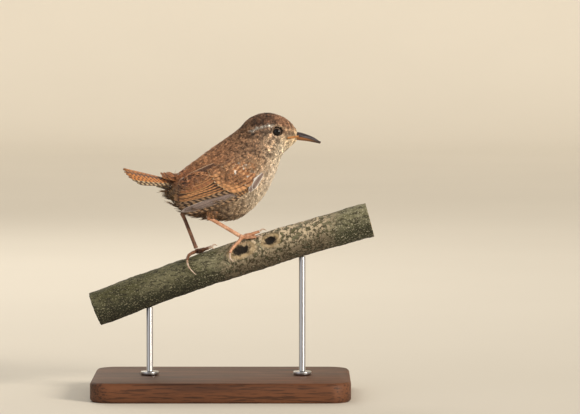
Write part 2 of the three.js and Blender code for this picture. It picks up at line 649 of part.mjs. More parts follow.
function place(group, name, made, material) {
  const mesh = new THREE.Mesh(geometryOf(made), material);
  mesh.name = name;
  group.add(mesh);
}

place(wren, "torso", torso, FINISHES.plumage);
place(wren, "neck", neck, FINISHES.plumage);
place(wren, "head", headSolid(), FINISHES.head);
place(wren, "bill_upper", billUpper(), FINISHES.billUpper);
place(wren, "bill_lower", solid(billHalf(-1)), FINISHES.billLower);
place(wren, "tail", tailSolid(), FINISHES.tail);
for (const [name, sign] of Object.entries(SIDES)) {
  place(wren, `eye_${name}`, solid(ball(EYE.radius, eyePlace(sign).centre, 12, 9)), FINISHES.eye);
  place(wren, `wing_${name}`, wingSolid(sign), FINISHES.wing);
  for (const [node, made, material] of legNodes(name)) place(wren, node, made, material);
}
place(perch, "perch", solid(perchGeometry(0)), FINISHES.bark);
place(stand, "stand_base", baseSolid(), FINISHES.wood);
ROD.places.forEach((x, i) => {
  place(stand, `stand_rod_${i + 1}`, rodSolid(x, solid(perchGeometry(GAP))), FINISHES.steel);
});

const model = new THREE.Group();
model.add(wren, perch, stand);

export default model;
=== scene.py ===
"""A life-size wren in full feather, standing along a cut branch that two rods hold over a wooden base.

The bird faces +X, its left side is +Y and +Z is up. Layout numbers are millimetres in the side view, as
(x, z), and become metres when a mesh is made.
"""

import math

import bmesh
import bpy
import numpy as np
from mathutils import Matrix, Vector
from mathutils.bvhtree import BVHTree


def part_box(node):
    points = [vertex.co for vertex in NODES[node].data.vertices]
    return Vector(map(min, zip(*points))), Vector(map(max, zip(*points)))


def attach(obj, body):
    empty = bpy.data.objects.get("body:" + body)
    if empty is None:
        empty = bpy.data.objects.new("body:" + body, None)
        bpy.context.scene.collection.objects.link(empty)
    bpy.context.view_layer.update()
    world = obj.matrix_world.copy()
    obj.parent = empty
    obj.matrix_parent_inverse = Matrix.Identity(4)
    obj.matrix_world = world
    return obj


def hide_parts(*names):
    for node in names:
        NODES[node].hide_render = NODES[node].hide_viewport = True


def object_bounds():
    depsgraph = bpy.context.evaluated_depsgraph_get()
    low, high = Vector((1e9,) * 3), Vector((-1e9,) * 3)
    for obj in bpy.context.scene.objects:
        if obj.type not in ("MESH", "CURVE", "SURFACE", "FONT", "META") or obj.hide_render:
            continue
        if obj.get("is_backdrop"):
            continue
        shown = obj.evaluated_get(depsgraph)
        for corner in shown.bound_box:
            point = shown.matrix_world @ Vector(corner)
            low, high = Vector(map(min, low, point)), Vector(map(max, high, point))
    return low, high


bl_info = {
    "name": "Wren on a branch",
    "version": (1, 0, 0),
    "blender": (4, 5, 0),
    "location": "3D View > Sidebar > Wren",
    "description": "Dresses a solid wren in feathers, horn, skin and bark, piece by piece",
    "category": "Add Mesh",
}

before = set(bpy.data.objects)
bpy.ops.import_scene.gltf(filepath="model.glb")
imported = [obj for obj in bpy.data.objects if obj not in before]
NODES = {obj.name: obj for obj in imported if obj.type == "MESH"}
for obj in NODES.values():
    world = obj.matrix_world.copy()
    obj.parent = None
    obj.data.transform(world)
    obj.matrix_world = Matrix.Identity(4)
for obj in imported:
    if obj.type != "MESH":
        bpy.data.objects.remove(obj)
CAD_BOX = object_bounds()
MM = 0.001
SIDES = {"right": -1, "left": 1}
TOES = ("hallux", "inner", "middle", "outer")
rng = np.random.default_rng(7)

# The outline of the plumage from vent to bill: top (x, z), bottom (x, z), half width, widest level.
STATIONS = np.array([
    (-21.0, 100.8, -25.6, 92.6, 4.6, 0.50),
    (-14.1, 106.5, -19.0, 84.8, 9.4, 0.50),
    (-5.0, 113.3, -6.4, 80.8, 12.4, 0.50),
    (3.2, 119.0, 7.0, 80.6, 13.6, 0.47),
    (8.2, 122.9, 18.7, 90.0, 12.8, 0.45),
    (12.3, 127.2, 25.2, 101.9, 10.4, 0.47),
    (20.0, 129.9, 28.2, 110.2, 8.8, 0.50),
    (28.2, 128.1, 31.4, 113.3, 6.8, 0.48),
    (33.2, 124.0, 34.3, 116.1, 3.7, 0.45),
    (35.3, 121.0, 35.5, 116.9, 2.0, 0.45),
])
LAST_STATION = len(STATIONS) - 1
HEAD_FROM = 5.0  # the station number where the head's feathers begin

# How finely each kind of piece is remeshed, as the voxel's size in mm, and how often it is then smoothed.
SOFTENING = dict(skin=(0.55, 10), thigh=(0.3, 12), bill=(0.1, 4), gape=(0.2, 2), leg=(0.14, 6),
                 claw=(0.08, 4))
DRAPE = dict(voxel=0.6, reach=1.3, turns=4)

# Each tract of small feathers: name, place (x, z), colour, feather length in mm, then from 0 to 1 how strong
# its dark bars are, how strong its dark shaft streaks are, and how loosely it lies.
TRACTS = [
    ("crown", 19.6, 127.8, "#7e5b45", 2.5, 0.15, 0.80, 0.02),
    ("forehead", 30.5, 124.2, "#aa7f61", 1.6, 0.05, 0.70, 0.00),
    ("nape", 9.6, 122.5, "#916949", 3.2, 0.30, 0.60, 0.05),
    ("mantle", 3.0, 115.0, "#d69f76", 4.0, 0.50, 0.20, 0.08),
    ("back", -7.1, 108.4, "#e4a97a", 4.2, 0.52, 0.10, 0.10),
    ("rump", -16.5, 103.0, "#cb885c", 4.8, 0.50, 0.00, 0.25),
    ("neck_side", 12.9, 113.4, "#dcb08a", 3.0, 0.40, 0.60, 0.08),
    ("ear_coverts", 16.6, 119.4, "#b58f6e", 2.2, 0.15, 0.85, 0.03),
    ("cheek", 22.9, 116.8, "#f6d9ba", 2.0, 0.10, 0.95, 0.03),
    ("throat", 28.9, 113.4, "#f5e8d2", 1.9, 0.10, 0.60, 0.05),
    ("chin", 32.8, 116.4, "#ecd4b0", 1.3, 0.00, 0.45, 0.02),
    ("breast_side", 15.5, 104.0, "#edc69b", 3.2, 0.32, 0.10, 0.12),
    ("breast", 23.5, 101.0, "#faeddb", 3.4, 0.10, 0.00, 0.14),
    ("breast_low", 18.0, 92.5, "#f4e2c8", 4.0, 0.35, 0.00, 0.22),
    ("flank", 8.0, 88.6, "#e9cba8", 4.4, 0.85, 0.00, 0.34),
    ("belly", 5.0, 82.8, "#9e8062", 4.6, 0.85, 0.00, 0.45),
    ("flank_rear", -3.0, 90.0, "#a9835f", 4.6, 0.80, 0.00, 0.45),
    ("belly_rear", -10.5, 83.0, "#816044", 5.6, 0.80, 0.10, 0.75),
    ("vent", -20.5, 89.0, "#9f7f58", 7.0, 0.80, 0.20, 0.95),
]
TRACT_REACH = 4.6  # how softly one tract's colour runs into the next, mm
FEATHER_WIDTH = 0.55  # in shares of a soft feather's length
# The colours of each thigh's skin and of the feathers at its heel, and its place on the skin's unwrap; the
# left thigh's darker colours are painted shade.
THIGHS = {"right": ("#a87850", "#d49c6a", 0.4), "left": ("#6e4c2e", "#7c5736", 0.6)}
THIGH_FEATHERS = 260
PIECE_LIMIT = 190000  # triangles in one piece of the coat

# Lines of colour on the face: points (x, z), half width in mm, colour and strength.
FACE_LINES = [
    ([(14.6, 122.4), (17.4, 123.6), (22.0, 124.6), (25.0, 124.3)], 0.45, "#fffaf0", 0.95),
    ([(25.0, 124.3), (29.2, 122.9), (32.0, 121.4)], 0.5, "#dcbf9c", 0.7),
    ([(12.6, 120.2), (17.4, 121.7), (23.2, 121.9)], 0.85, "#5a3d28", 0.75),
    ([(14.6, 116.6), (17.2, 113.6), (21.4, 111.4)], 0.9, "#5c4029", 0.5),
    ([(27.4, 121.0), (30.4, 120.0), (33.4, 119.7)], 0.7, "#6b4a32", 0.6),
]

EYE_AT = (26.0, 121.3)
EYE_SEEN = 1.75
LID = dict(major_radius=0.0018, minor_radius=0.00019)
# The bill's root: what lies behind a place is pushed back into the feathers, and the halves swell to meet.
BILL_ROOT = dict(behind=0.0359, push=(-0.0024, 0, 0.0003), swell=0.00017)
GAPE_PLANES = [((0.0302, 0, 0.118), (-1, 0, 0)), ((0.0302, 0, 0.1186), (-0.115, 0, 0.993)),
               ((0.0302, 0, 0.1178), (0.115, 0, -0.993))]

# The vanes of the folded wing, by tract: name, count, width, bow, tilt, the roots of the first and last vane,
# the tips of the first, middle and last, lift at the roots, and lifts at the first and last tip.
WING_TRACTS = [
    ("primaries", 8, 3.4, -0.5, 0.16, ((12.2, 95.9), (11.0, 98.6)),
     ((-3.0, 89.2), (-17.6, 81.8), (-20.2, 87.6)), 0.5, (0.5, 0.8)),
    ("chequered_hem", 1, 2.9, -0.2, 0.1, [(9.0, 92.3)] * 2, [(-15.4, 83.5)] * 3, 0.7, (0.95, 0.95)),
    ("slate_primary", 1, 3.1, -0.5, 0.1, [(10.2, 94.2)] * 2, [(-18.2, 84.9)] * 3, 1.0, (1.3, 1.3)),
    ("chequered_edge", 1, 2.4, -0.3, 0.14, [(11.6, 96.2)] * 2, [(-19.6, 88.4)] * 3, 1.15, (1.5, 1.5)),
    ("secondaries", 5, 3.5, 0.4, 0.2, ((10.0, 99.2), (3.5, 103.0)),
     ((-20.6, 90.2), (-21.0, 91.6), (-19.8, 93.2)), 1.25, (1.6, 1.85)),
    ("tertials", 3, 5.4, 0.8, 0.17, ((1.5, 103.2), (-2.2, 105.6)),
     ((-19.4, 94.2), (-18.8, 96.6), (-14.6, 98.8)), 1.4, (1.95, 2.3)),
    ("primary_coverts", 4, 2.4, -0.2, 0.17, ((14.2, 96.4), (13.2, 98.2)),
     ((6.6, 93.4), (5.6, 94.2), (4.4, 95.6)), 1.35, (1.6, 1.7)),
    ("greater_coverts", 8, 3.2, 0.3, 0.2, ((13.0, 98.4), (1.6, 106.0)),
     ((2.8, 94.6), (-2.4, 97.6), (-5.6, 102.0)), 1.5, (2.1, 2.5)),
    ("median_coverts", 8, 2.5, 0.2, 0.2, ((15.8, 101.0), (5.2, 107.8)),
     ((10.0, 97.4), (5.0, 100.2), (0.6, 104.4)), 1.9, (2.4, 2.75)),
    ("alula", 2, 2.6, -0.3, 0.1, ((17.4, 102.0), (18.0, 102.6)),
     ((12.0, 94.9), (12.6, 95.3), (13.2, 95.8)), 2.2, (2.6, 2.9)),
]
WING_EDGE = dict(wrist=17.5, end=-21.0, wrist_out=9.8, end_out=6.8)
WING_OUTLINE = [(18.4, 103.4), (16.8, 99.4), (12.8, 94.0), (9.4, 92.6), (4.0, 91.4), (-6.0, 86.8),
                (-15.5, 84.2), (-18.8, 87.2), (-18.6, 91.4), (-14.6, 94.8), (-6.0, 99.6), (2.0, 103.4),
                (8.0, 105.4), (14.0, 105.4)]
# The breast's side feathers over the wing's front edge: where they root, and their spacing and length.
WRIST = dict(levels=(92.0, 106.0), outs=(7.5, 12.5), ahead=(11.5, 20.5), spacing=0.75, length=2.7)
LESSER_COVERTS = dict(centre=(9.8, 103.2), reach=(9.4, 4.6), turn=14, length=2.5, spacing=0.85)
ALULA_LINE = [(16.6, 100.6), (12.6, 95.3)]
WHITE_SPOTS = [(2.2, 106.4), (5.6, 105.9), (8.4, 107.0), (11.6, 106.6), (10.7, 104.8), (13.9, 103.4),
               (6.9, 103.0), (12.4, 101.4)]

TAIL = dict(root=(-20.6, 98.3), rise=11.5, pairs=6, length=24.6, shortening=0.05, width=4.0,
            root_spread=2.4, tip_spread=7.2, droop=0.42, stack=0.36)
UPPER_COVERTS = dict(start=(-19.4, 100.5), rise=9, rows=3, across=6, length=8.8, width=3.0, spread=3.6,
                     droop=0.5, level=1)
UNDER_COVERTS = dict(start=(-23.4, 93.4), rise=27, rows=3, across=7, length=9.6, width=2.8, spread=3.4,
                     droop=-0.35, level=-1)

# The branch: the centres of its sawn ends, where along it they are sawn, each knot's place, length and width,
# and the name, size and strength of the bark's relief.
PERCH_ENDS = ((-58.0, 39.2), (68.0, 80.4))
SAWN_FROM = (-0.0545, 0.0655)
KNOTS = [(9.2, -7.4, 67.0, 5.2, 2.7), (22.4, -6.6, 71.4, 3.4, 2.3)]
BARK_RELIEF = [("bark_ridges", 3.0, 0.55), ("bark_grain", 0.9, 0.28)]
FLANGE = dict(radius=0.0042, depth=0.0015, inset=0.0027)

# The stage: what the camera looks at, then each lamp's name, kind, place, power, colour and size.
TARGET = Vector((0.0314, -0.010, 0.0869))
LAMPS = [("key", "SUN", (0.95, -0.85, 0.55), 3.0, "#fff4e4", 0.3),
         ("fill", "AREA", (-0.8, -0.7, 0.35), 2.0, "#f2f5ff", 0.9),
         ("back", "AREA", (-0.35, 0.8, 0.7), 3.0, "#fffaf2", 0.6)]


# Colours and materials

def linear(code):
    """The linear RGBA of an sRGB hex colour."""
    parts = [int(code[i:i + 2], 16) / 255 for i in (1, 3, 5)]
    return tuple(c / 12.92 if c <= 0.04045 else ((c + 0.055) / 1.055) ** 2.4 for c in parts) + (1.0,)


class Graph:
    """A material of one shader and the nodes that feed it."""

    def __init__(self, name, roughness, **sockets):
        self.material = bpy.data.materials.new(name)
        self.material.use_nodes = True
        self.tree = self.material.node_tree
        self.shader = self.tree.nodes["Principled BSDF"]
        for key, value in {"Roughness": roughness, **sockets}.items():
            self.shader.inputs[key.replace("_", " ")].default_value = value

    def add(self, kind, inputs=None, **settings):
        """Adds one node; an input is given a value, a hex colour or another node's output to link."""
        made = self.tree.nodes.new(kind)
        for key, value in settings.items():
            setattr(made, key, value)
        for key, value in (inputs or {}).items():
            if isinstance(value, bpy.types.NodeSocket):
                self.tree.links.new(value, made.inputs[key])
            else:
                made.inputs[key].default_value = linear(value) if isinstance(value, str) else value
        return made

    def maths(self, operation, *values):
        return self.add("ShaderNodeMath", dict(enumerate(values)), operation=operation).outputs[0]

    def times(self, *values):
        return self.maths("MULTIPLY", *values)

    def plus(self, *values):
        return self.maths("ADD", *values)

    def times_plus(self, *values):
        return self.maths("MULTIPLY_ADD", *values)

    def vector(self, operation, *values):
        return self.add("ShaderNodeVectorMath", dict(enumerate(values)), operation=operation)

    def step(self, value, low, high):
        """A smooth step of a value from low to high."""
        inputs = {0: value, 1: low, 2: high}
        return self.add("ShaderNodeMapRange", inputs, interpolation_type="SMOOTHSTEP").outputs[0]

    def mix(self, amount, low, high, mode="MIX"):
        """A mix of two colours."""
        inputs = {0: amount, 6: low, 7: high}
        return self.add("ShaderNodeMix", inputs, data_type="RGBA", blend_type=mode).outputs[2]

    def times_colour(self, amount, tone, factor):
        """A colour that is multiplied by another, as far as an amount says."""
        return self.mix(amount, tone, self.mix(1.0, tone, factor, "MULTIPLY"))

    def place(self):
        return self.add("ShaderNodeTexCoord").outputs["Object"]

    def parts(self, vector):
        return list(self.add("ShaderNodeSeparateXYZ", {0: vector}).outputs)

    def attribute(self, name):
        return self.add("ShaderNodeAttribute", attribute_name=name).outputs["Color"]

    def channels(self, name):
        """The three channels of a colour attribute."""
        return list(self.add("ShaderNodeSeparateColor", {0: self.attribute(name)}).outputs)

    def noise(self, size, detail=3.0, stretch=(1, 1, 1), rough=0.55):
        """Noise on Object coordinates, with features of a size in mm."""
        mapped = self.add("ShaderNodeMapping", {0: self.place(), 3: stretch}).outputs[0]
        inputs = {"Vector": mapped, "Scale": 1 / (size * MM), "Detail": detail, "Roughness": rough}
        return self.add("ShaderNodeTexNoise", inputs).outputs["Fac"]

    def done(self, colour, height=None, distance=0.0, strength=1.0):
        """The material, with its colour and any bump over a distance in metres linked to the shader."""
        self.tree.links.new(colour, self.shader.inputs["Base Color"])
        if height is not None:
            inputs = {"Height": height, "Distance": distance, "Strength": strength}
            normal = self.add("ShaderNodeBump", inputs).outputs[0]
            self.tree.links.new(normal, self.shader.inputs["Normal"])
        return self.material


def plumage_material(name):
    """Small soft feathers: dull keratin with a faint sheen along the barbs, coloured feather by feather."""
    g = Graph(name, 0.72, Sheen_Weight=0.12, Sheen_Roughness=0.5)
    dark_share, pale_share, _ = g.channels("marks")
    # Barbs differ in tone every 0.5 mm; dark flecks and pale tips are about 1.5 mm across
    shade = g.mix(g.step(g.noise(0.5), 0.3, 0.7), (0.84, 0.82, 0.8, 1), (1.12, 1.12, 1.12, 1))
    tone = g.mix(1.0, g.attribute("plumage"), shade, "MULTIPLY")
    pale = g.times(g.step(g.noise(1.6, 2.0), 0.53, 0.59), pale_share)
    tone = g.times_colour(pale, tone, (1.9, 1.95, 2.0, 1))
    dark = g.times(g.step(g.noise(1.8), 0.47, 0.42), dark_share)
    return g.done(g.times_colour(dark, tone, (0.26, 0.23, 0.2, 1)))


def vane_material(name, web, bar, rim, tip, pitch, bars=0.8, outer=None, rim_from=0.86, tip_from=0.93,
                  inner=None, tip_width=1.0, soft=0.35, outer_web=0.1):
    """A firm feather vane: a satin web with a dark shaft, a rim, and bars at a pitch in shares of its length.

    Bars keep to the web beyond outer, and inner is the colour of the web short of outer_web.
    """
    g = Graph(name, 0.55, Sheen_Weight=0.08)
    spot = g.add("ShaderNodeUVMap", uv_map="vane").outputs[0]
    across, along, _ = g.parts(spot)
    out = g.times_plus(across, 2.0, -1.0)
    away = g.maths("ABSOLUTE", out)
    blur = g.add("ShaderNodeTexNoise", {"Vector": spot, "Scale": 9.0, "Detail": 2.0}).outputs["Fac"]
    own_tone, own_start, _ = g.channels("tone")
    # Bars slant a little with the barbs and waver, and each feather's start at their own place
    slant = g.plus(g.times_plus(away, 0.05, along), own_start)
    wave = g.maths("SINE", g.times(g.times_plus(blur, pitch * 0.5, slant), 2 * math.pi / pitch))
    mask = g.times(g.step(wave, 0.1 - soft, 0.1 + soft), bars)
    if outer is not None:
        mask = g.times(mask, g.step(out, outer - 0.12, outer + 0.12))
    ground = web
    if inner is not None:
        ground = g.mix(g.step(out, outer_web - 0.12, outer_web + 0.12), inner, web)
    colour = g.mix(mask, ground, bar)
    colour = g.mix(g.step(away, rim_from, 1.0), colour, rim)
    end = g.step(away, tip_width + 0.1, tip_width - 0.2)
    colour = g.mix(g.times(g.step(along, tip_from, tip_from + 0.05), end), colour, tip)
    colour = g.mix(g.times(g.step(away, 0.1, 0.03), 0.5), colour, "#2c1a10")
    shade = g.mix(g.step(g.noise(0.35, 2.0), 0.3, 0.7), (0.8, 0.78, 0.76, 1), (1.14, 1.14, 1.14, 1))
    own = g.add("ShaderNodeCombineColor", {i: own_tone for i in range(3)}).outputs[0]
    shade = g.mix(1.0, shade, own, "MULTIPLY")
    # Barbs run out and forwards from the shaft, drawn 0.3 mm apart so that they show
    barb = g.maths("SINE", g.times_plus(along, 240.0, g.times(away, -26.0)))
    return g.done(g.mix(1.0, colour, shade, "MULTIPLY"), barb, 0.00008, 0.6)


def horn_material(name, dark, pale, roughness, tip=None):
    """Horn of a bill or claw: dense, with a soft gloss and a cloudy tone; a bill may darken to its tip."""
    g = Graph(name, roughness, Specular_IOR_Level=0.4)
    tone = g.mix(g.step(g.noise(2.2), 0.35, 0.65), dark, pale)
    if tip is not None:
        tone = g.mix(g.step(g.parts(g.place())[0], 0.038, 0.044), tone, tip)
    return g.done(tone, g.noise(0.4, 3.0, (1, 4, 4)), 0.00005, 0.6)


def skin_material(name, pale, dark, pitch):
    """Bare skin of a leg, in horny scutes about a millimetre deep with darker joints."""
    g = Graph(name, 0.5, Subsurface_Weight=0.08, Subsurface_Scale=0.001, Subsurface_Radius=(1.0, 0.4, 0.25))
    inputs = {"Vector": g.place(), "Scale": 1 / (pitch * MM), "Randomness": 0.6}
    cells = g.add("ShaderNodeTexVoronoi", inputs, feature="DISTANCE_TO_EDGE")
    joint = g.step(cells.outputs["Distance"], 0.0, 0.14)
    tone = g.mix(g.step(g.noise(3.0), 0.3, 0.7), dark, pale)
    return g.done(g.mix(joint, g.mix(0.55, tone, dark), tone), joint, 0.00012, 0.8)


def bark_material():
    """Bark of a young branch: olive grey, finely cracked lengthwise, scarred pale where it has flaked."""
    g = Graph("olive_grey_bark", 0.88)
    where = g.place()
    ahead, _, above = g.parts(where)
    cracks = g.noise(1.1, 5.0, (0.35, 1, 1), 0.65)
    specks = g.noise(0.5, 3.0, (0.7, 1, 1))
    cloud = g.noise(9.0, 4.0, (0.6, 1, 1))
    patch = g.noise(1.6, 5.0, (1, 0.8, 0.8), 0.7)
    # Painted shade: the side away from the sky is darker and greener, and the low end is darker too
    level = g.plus(g.times_plus(ahead, -0.327, above), g.times(cloud, 0.006))
    under = g.step(level, 0.068, 0.058)
    tone = g.mix(g.step(cloud, 0.35, 0.65), "#62603f", "#8f8b70")
    tone = g.mix(under, tone, "#33341f")
    tone = g.mix(g.times(g.step(cracks, 0.52, 0.42), 0.75), tone, "#25210f")
    tone = g.mix(g.times(g.step(specks, 0.56, 0.64), 0.6), tone, "#c2bba0")
    tone = g.times_colour(g.times(g.step(ahead, 0.012, -0.02), 0.85), tone, (0.5, 0.5, 0.42, 1))
    # Flaked scars between the feet and on towards the high end
    reach = g.step(g.maths("ABSOLUTE", g.plus(ahead, -0.026)), 0.030, 0.018)
    scar = g.times(reach, g.step(patch, 0.46, 0.54))
    # The scars fade under the painted shade of the underside
    scar = g.times(scar, g.maths("SUBTRACT", 1.0, g.times(under, 0.7)))
    tone = g.mix(scar, tone, "#d2c0a2")
    edge = g.times(reach, g.step(patch, 0.40, 0.47))
    edge = g.times(edge, g.maths("SUBTRACT", 1.0, scar))
    tone = g.mix(g.times(edge, 0.7), tone, "#3a2914")
    # Each knot: a pale rim round a hollow painted near black, painted shade in the recess
    for x, y, z, long, wide in KNOTS:
        centre = g.vector("SUBTRACT", where, (x * MM, y * MM, z * MM)).outputs[0]
        turned = g.add("ShaderNodeMapping", {0: centre, 2: (0, math.radians(18), 0)}).outputs[0]
        scaled = g.vector("MULTIPLY", turned, (1 / (long * MM), 1 / (6 * MM), 1 / (wide * MM))).outputs[0]
        far = g.plus(g.vector("LENGTH", scaled).outputs["Value"], -0.35)
        far = g.times_plus(patch, 1.1, far)
        tone = g.mix(g.times(g.step(far, 1.75, 1.35), 0.7), tone, "#b39b76")
        tone = g.mix(g.step(far, 1.25, 0.8), tone, "#1c1308")
    rough = g.plus(g.times(cracks, 0.7), g.times(scar, 0.25))
    return g.done(tone, g.plus(rough, g.times(specks, 0.3)), 0.0009, 0.9)


def end_grain_material():
    """A sawn branch end: pale sapwood with growth rings about 0.9 mm apart and a small dark pith."""
    g = Graph("sawn_end_grain", 0.8)
    offsets = [g.vector("SUBTRACT", g.place(), (x * MM, 0, z * MM)).outputs[0] for x, z in PERCH_ENDS]
    near = g.maths("MINIMUM", *[g.vector("LENGTH", offset).outputs["Value"] for offset in offsets])
    waver = g.times_plus(g.noise(4.0), 0.0012, near)
    ring = g.maths("SINE", g.times(waver, 2 * math.pi / (0.9 * MM)))
    tone = g.mix(g.step(ring, -0.2, 0.9), "#d3b583", "#a98552")
    tone = g.mix(g.step(near, 0.0012, 0.0006), tone, "#5b3d20")
    tone = g.mix(g.step(near, 0.0070, 0.0078), tone, "#4a3a20")
    return g.done(tone, g.noise(0.6), 0.0002, 0.5)


def wood_material(dark, pale):
    """Stained and oiled hardwood, with pores drawn out along the grain."""
    g = Graph("stained_hardwood", 0.6, Specular_IOR_Level=0.3)
    pores = g.noise(0.8, 3.0, (0.06, 1, 1))
    tone = g.mix(g.step(g.noise(9.0, 4.0, (0.12, 1, 1)), 0.35, 0.65), dark, pale)
    tone = g.mix(g.times(g.step(pores, 0.5, 0.4), 0.6), tone, "#1d110a")
    return g.done(tone, pores, 0.0001, 0.4)


def steel_material():
    """Brushed stainless steel rod, its fine marks running round it."""
    g = Graph("brushed_stainless_steel", 0.28, Metallic=1.0)
    marks = g.noise(0.4, 2.0, (1, 1, 6))
    return g.done(g.mix(marks, "#9c9c9e", "#c6c6c8"), marks, 0.00002, 0.5)


# Shared modelling steps

def pick(*objects):
    """Selects these objects only, the last one active."""
    bpy.ops.object.select_all(action="DESELECT")
    for one in objects:
        one.select_set(True)
        bpy.context.view_layer.objects.active = one


class Editing:
    """Edit mode on the active piece, with all of it selected or only the elements of the chosen numbers."""

    def __init__(self, mode="VERT", chosen=None):
        self.mode = mode
        self.chosen = chosen

    def __enter__(self):
        mesh = bpy.context.object.data
        bpy.ops.object.mode_set(mode="EDIT")
        bpy.ops.mesh.select_mode(type=self.mode)
        bpy.ops.mesh.select_all(action="SELECT" if self.chosen is None else "DESELECT")
        if self.chosen is not None:
            bpy.ops.object.mode_set(mode="OBJECT")
            elements = {"VERT": mesh.vertices, "EDGE": mesh.edges, "FACE": mesh.polygons}[self.mode]
            for i in self.chosen:
                elements[i].select = True
            bpy.ops.object.mode_set(mode="EDIT")

    def __exit__(self, *_):
        bpy.ops.object.mode_set(mode="OBJECT")


def added(name):
    """The piece that the last primitive made, under its name, with its place put in its mesh."""
    piece = bpy.context.object
    piece.name = piece.data.name = name
    bpy.ops.object.transform_apply(location=True, rotation=True, scale=True)
    return piece


def applied(piece, kind, **settings):
    """Adds a modifier with its settings and applies it."""
    pick(piece)
    modifier = piece.modifiers.new(kind.title(), kind)
    for key, value in settings.items():
        setattr(modifier, key, value)
    bpy.ops.object.modifier_apply(modifier=modifier.name)
    return piece


def copied(name, *nodes):
    """One piece from copies of solids, with their doubled points merged."""
    solids = [NODES[node] for node in nodes]
    hidden = [solid for solid in solids if solid.hide_viewport]
    for solid in hidden:
        solid.hide_viewport = False
    pick(*solids)
    bpy.ops.object.duplicate()
    bpy.context.object.hide_render = False
    for solid in hidden:
        solid.hide_viewport = True
    if len(nodes) > 1:
        bpy.ops.object.join()
    piece = bpy.context.object
    piece.name = piece.data.name = name
    piece.data.materials.clear()
    with Editing():
        bpy.ops.mesh.remove_doubles(threshold=1e-6)
    return piece


def softened(piece, kind):
    """Remeshes a faceted piece finely and smooths it."""
    voxel, turns = SOFTENING[kind]
    applied(piece, "REMESH", mode="VOXEL", voxel_size=voxel * MM, use_smooth_shade=True)
    applied(piece, "SMOOTH", iterations=turns, factor=0.5)
    bpy.ops.object.shade_smooth()
    return piece


def pressed(piece, spot, push, size):
    """Moves a piece's surface near a spot, fading out smoothly."""
    pick(piece)
    nearest = min(piece.data.vertices, key=lambda vertex: (vertex.co - spot).length_squared).index
    with Editing(chosen=[nearest]):
        bpy.ops.transform.translate(value=push, use_proportional_edit=True,
                                    proportional_edit_falloff="SMOOTH", proportional_size=size)


def handed(piece, material, slot, *replaced):
    """Gives a finished piece its material and its part in the frame."""
    piece.data.materials.clear()
    for one in material if isinstance(material, tuple) else (material,):
        piece.data.materials.append(one)
    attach(piece, "root")
    if replaced:
        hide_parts(*replaced)
    return piece


def points_of(piece):
    """A piece's points, in metres."""
    return np.array([vertex.co[:] for vertex in piece.data.vertices])


def coloured(piece, name, rows):
    """Stores a row of red, green, blue and alpha for each point."""
    layer = piece.data.color_attributes.new(name, "FLOAT_COLOR", "POINT")
    layer.data.foreach_set("color", np.asarray(rows, dtype=np.float32).ravel())


def mapped(piece, name, spots):
    """Stores a place on a UV map for each face corner."""
    layer = piece.data.uv_layers.new(name=name)
    layer.data.foreach_set("uv", np.asarray(spots, dtype=np.float32).ravel())


def mesh_piece(name, points, faces):
    """A mesh object from arrays of points and of triangles or quads."""
    mesh = bpy.data.meshes.new(name)
    mesh.vertices.add(len(points))
    mesh.vertices.foreach_set("co", points.astype(np.float32).ravel())
    mesh.loops.add(faces.size)
    mesh.loops.foreach_set("vertex_index", faces.astype(np.int32).ravel())
    mesh.polygons.add(len(faces))
    mesh.polygons.foreach_set("loop_start", np.arange(0, faces.size, faces.shape[1], dtype=np.int32))
    mesh.polygons.foreach_set("use_smooth", np.ones(len(faces), dtype=bool))
    mesh.update(calc_edges=True)
    piece = bpy.data.objects.new(name, mesh)
    bpy.context.collection.objects.link(piece)
    return piece


def template(piece):
    """The points and faces of a modelled template, which is then removed."""
    points = points_of(piece)
    faces = np.array([face.vertices[:] for face in piece.data.polygons])
    bpy.data.objects.remove(piece)
    return points, faces


def tree_of(*pieces):
    """One search tree over the faces of several pieces."""
    points, faces = [], []
    for piece in pieces:
        start = len(points)
        points += [v.co.copy() for v in piece.data.vertices]
        faces += [tuple(start + i for i in p.vertices) for p in piece.data.polygons]
    return BVHTree.FromPolygons(points, faces)


def from_side(surface, x, z, sign):
    """The place and normal where a level ray from one side meets a surface at (x, z), or two times None."""
    return surface.ray_cast(Vector((x * MM, sign * 0.05, z * MM)), Vector((0, -sign, 0)))[:2]


# The lie of the plumage

def station(number):
    """The outline's six numbers at a station number between the vent's 0 and the bill's 9."""
    number = np.atleast_1d(np.clip(number, 0, LAST_STATION - 0.0001))
    i = number.astype(int)
    u = (number - i)[:, None]
    p = [STATIONS[np.clip(i + k, 0, LAST_STATION)] for k in (-1, 0, 1, 2)]
    return 0.5 * (2 * p[1] + (p[2] - p[0]) * u + (2 * p[0] - 5 * p[1] + 4 * p[2] - p[3]) * u ** 2
                  + (3 * p[1] - p[0] - 3 * p[2] + p[3]) * u ** 3)


def on_body(number, turn):
    """Points of the plumage's outline in mm, at station numbers and turns round from the back."""
    s = station(number)
    turn = np.atleast_1d(turn)
    up = s[:, 0:2] - s[:, 2:4]
    height = np.linalg.norm(up, axis=1)
    up = up / height[:, None]
    middle = s[:, 2:4] + up * (height * s[:, 5])[:, None]
    reach = np.where(np.cos(turn) > 0, height * (1 - s[:, 5]), height * s[:, 5]) * np.cos(turn)
    flat = middle + up * reach[:, None]
    return np.stack([flat[:, 0], np.sin(turn) * s[:, 4], flat[:, 1]], axis=1)


def near_line(points, line):
    """The distance of side-view points from a line of points, mm."""
    best = np.full(len(points), 1e9)
    for a, b in zip(np.array(line[:-1]), np.array(line[1:])):
        run = b - a
        share = np.clip(((points - a) @ run) / (run @ run), 0, 1)
        best = np.minimum(best, np.linalg.norm(points - (a + share[:, None] * run), axis=1))
    return best


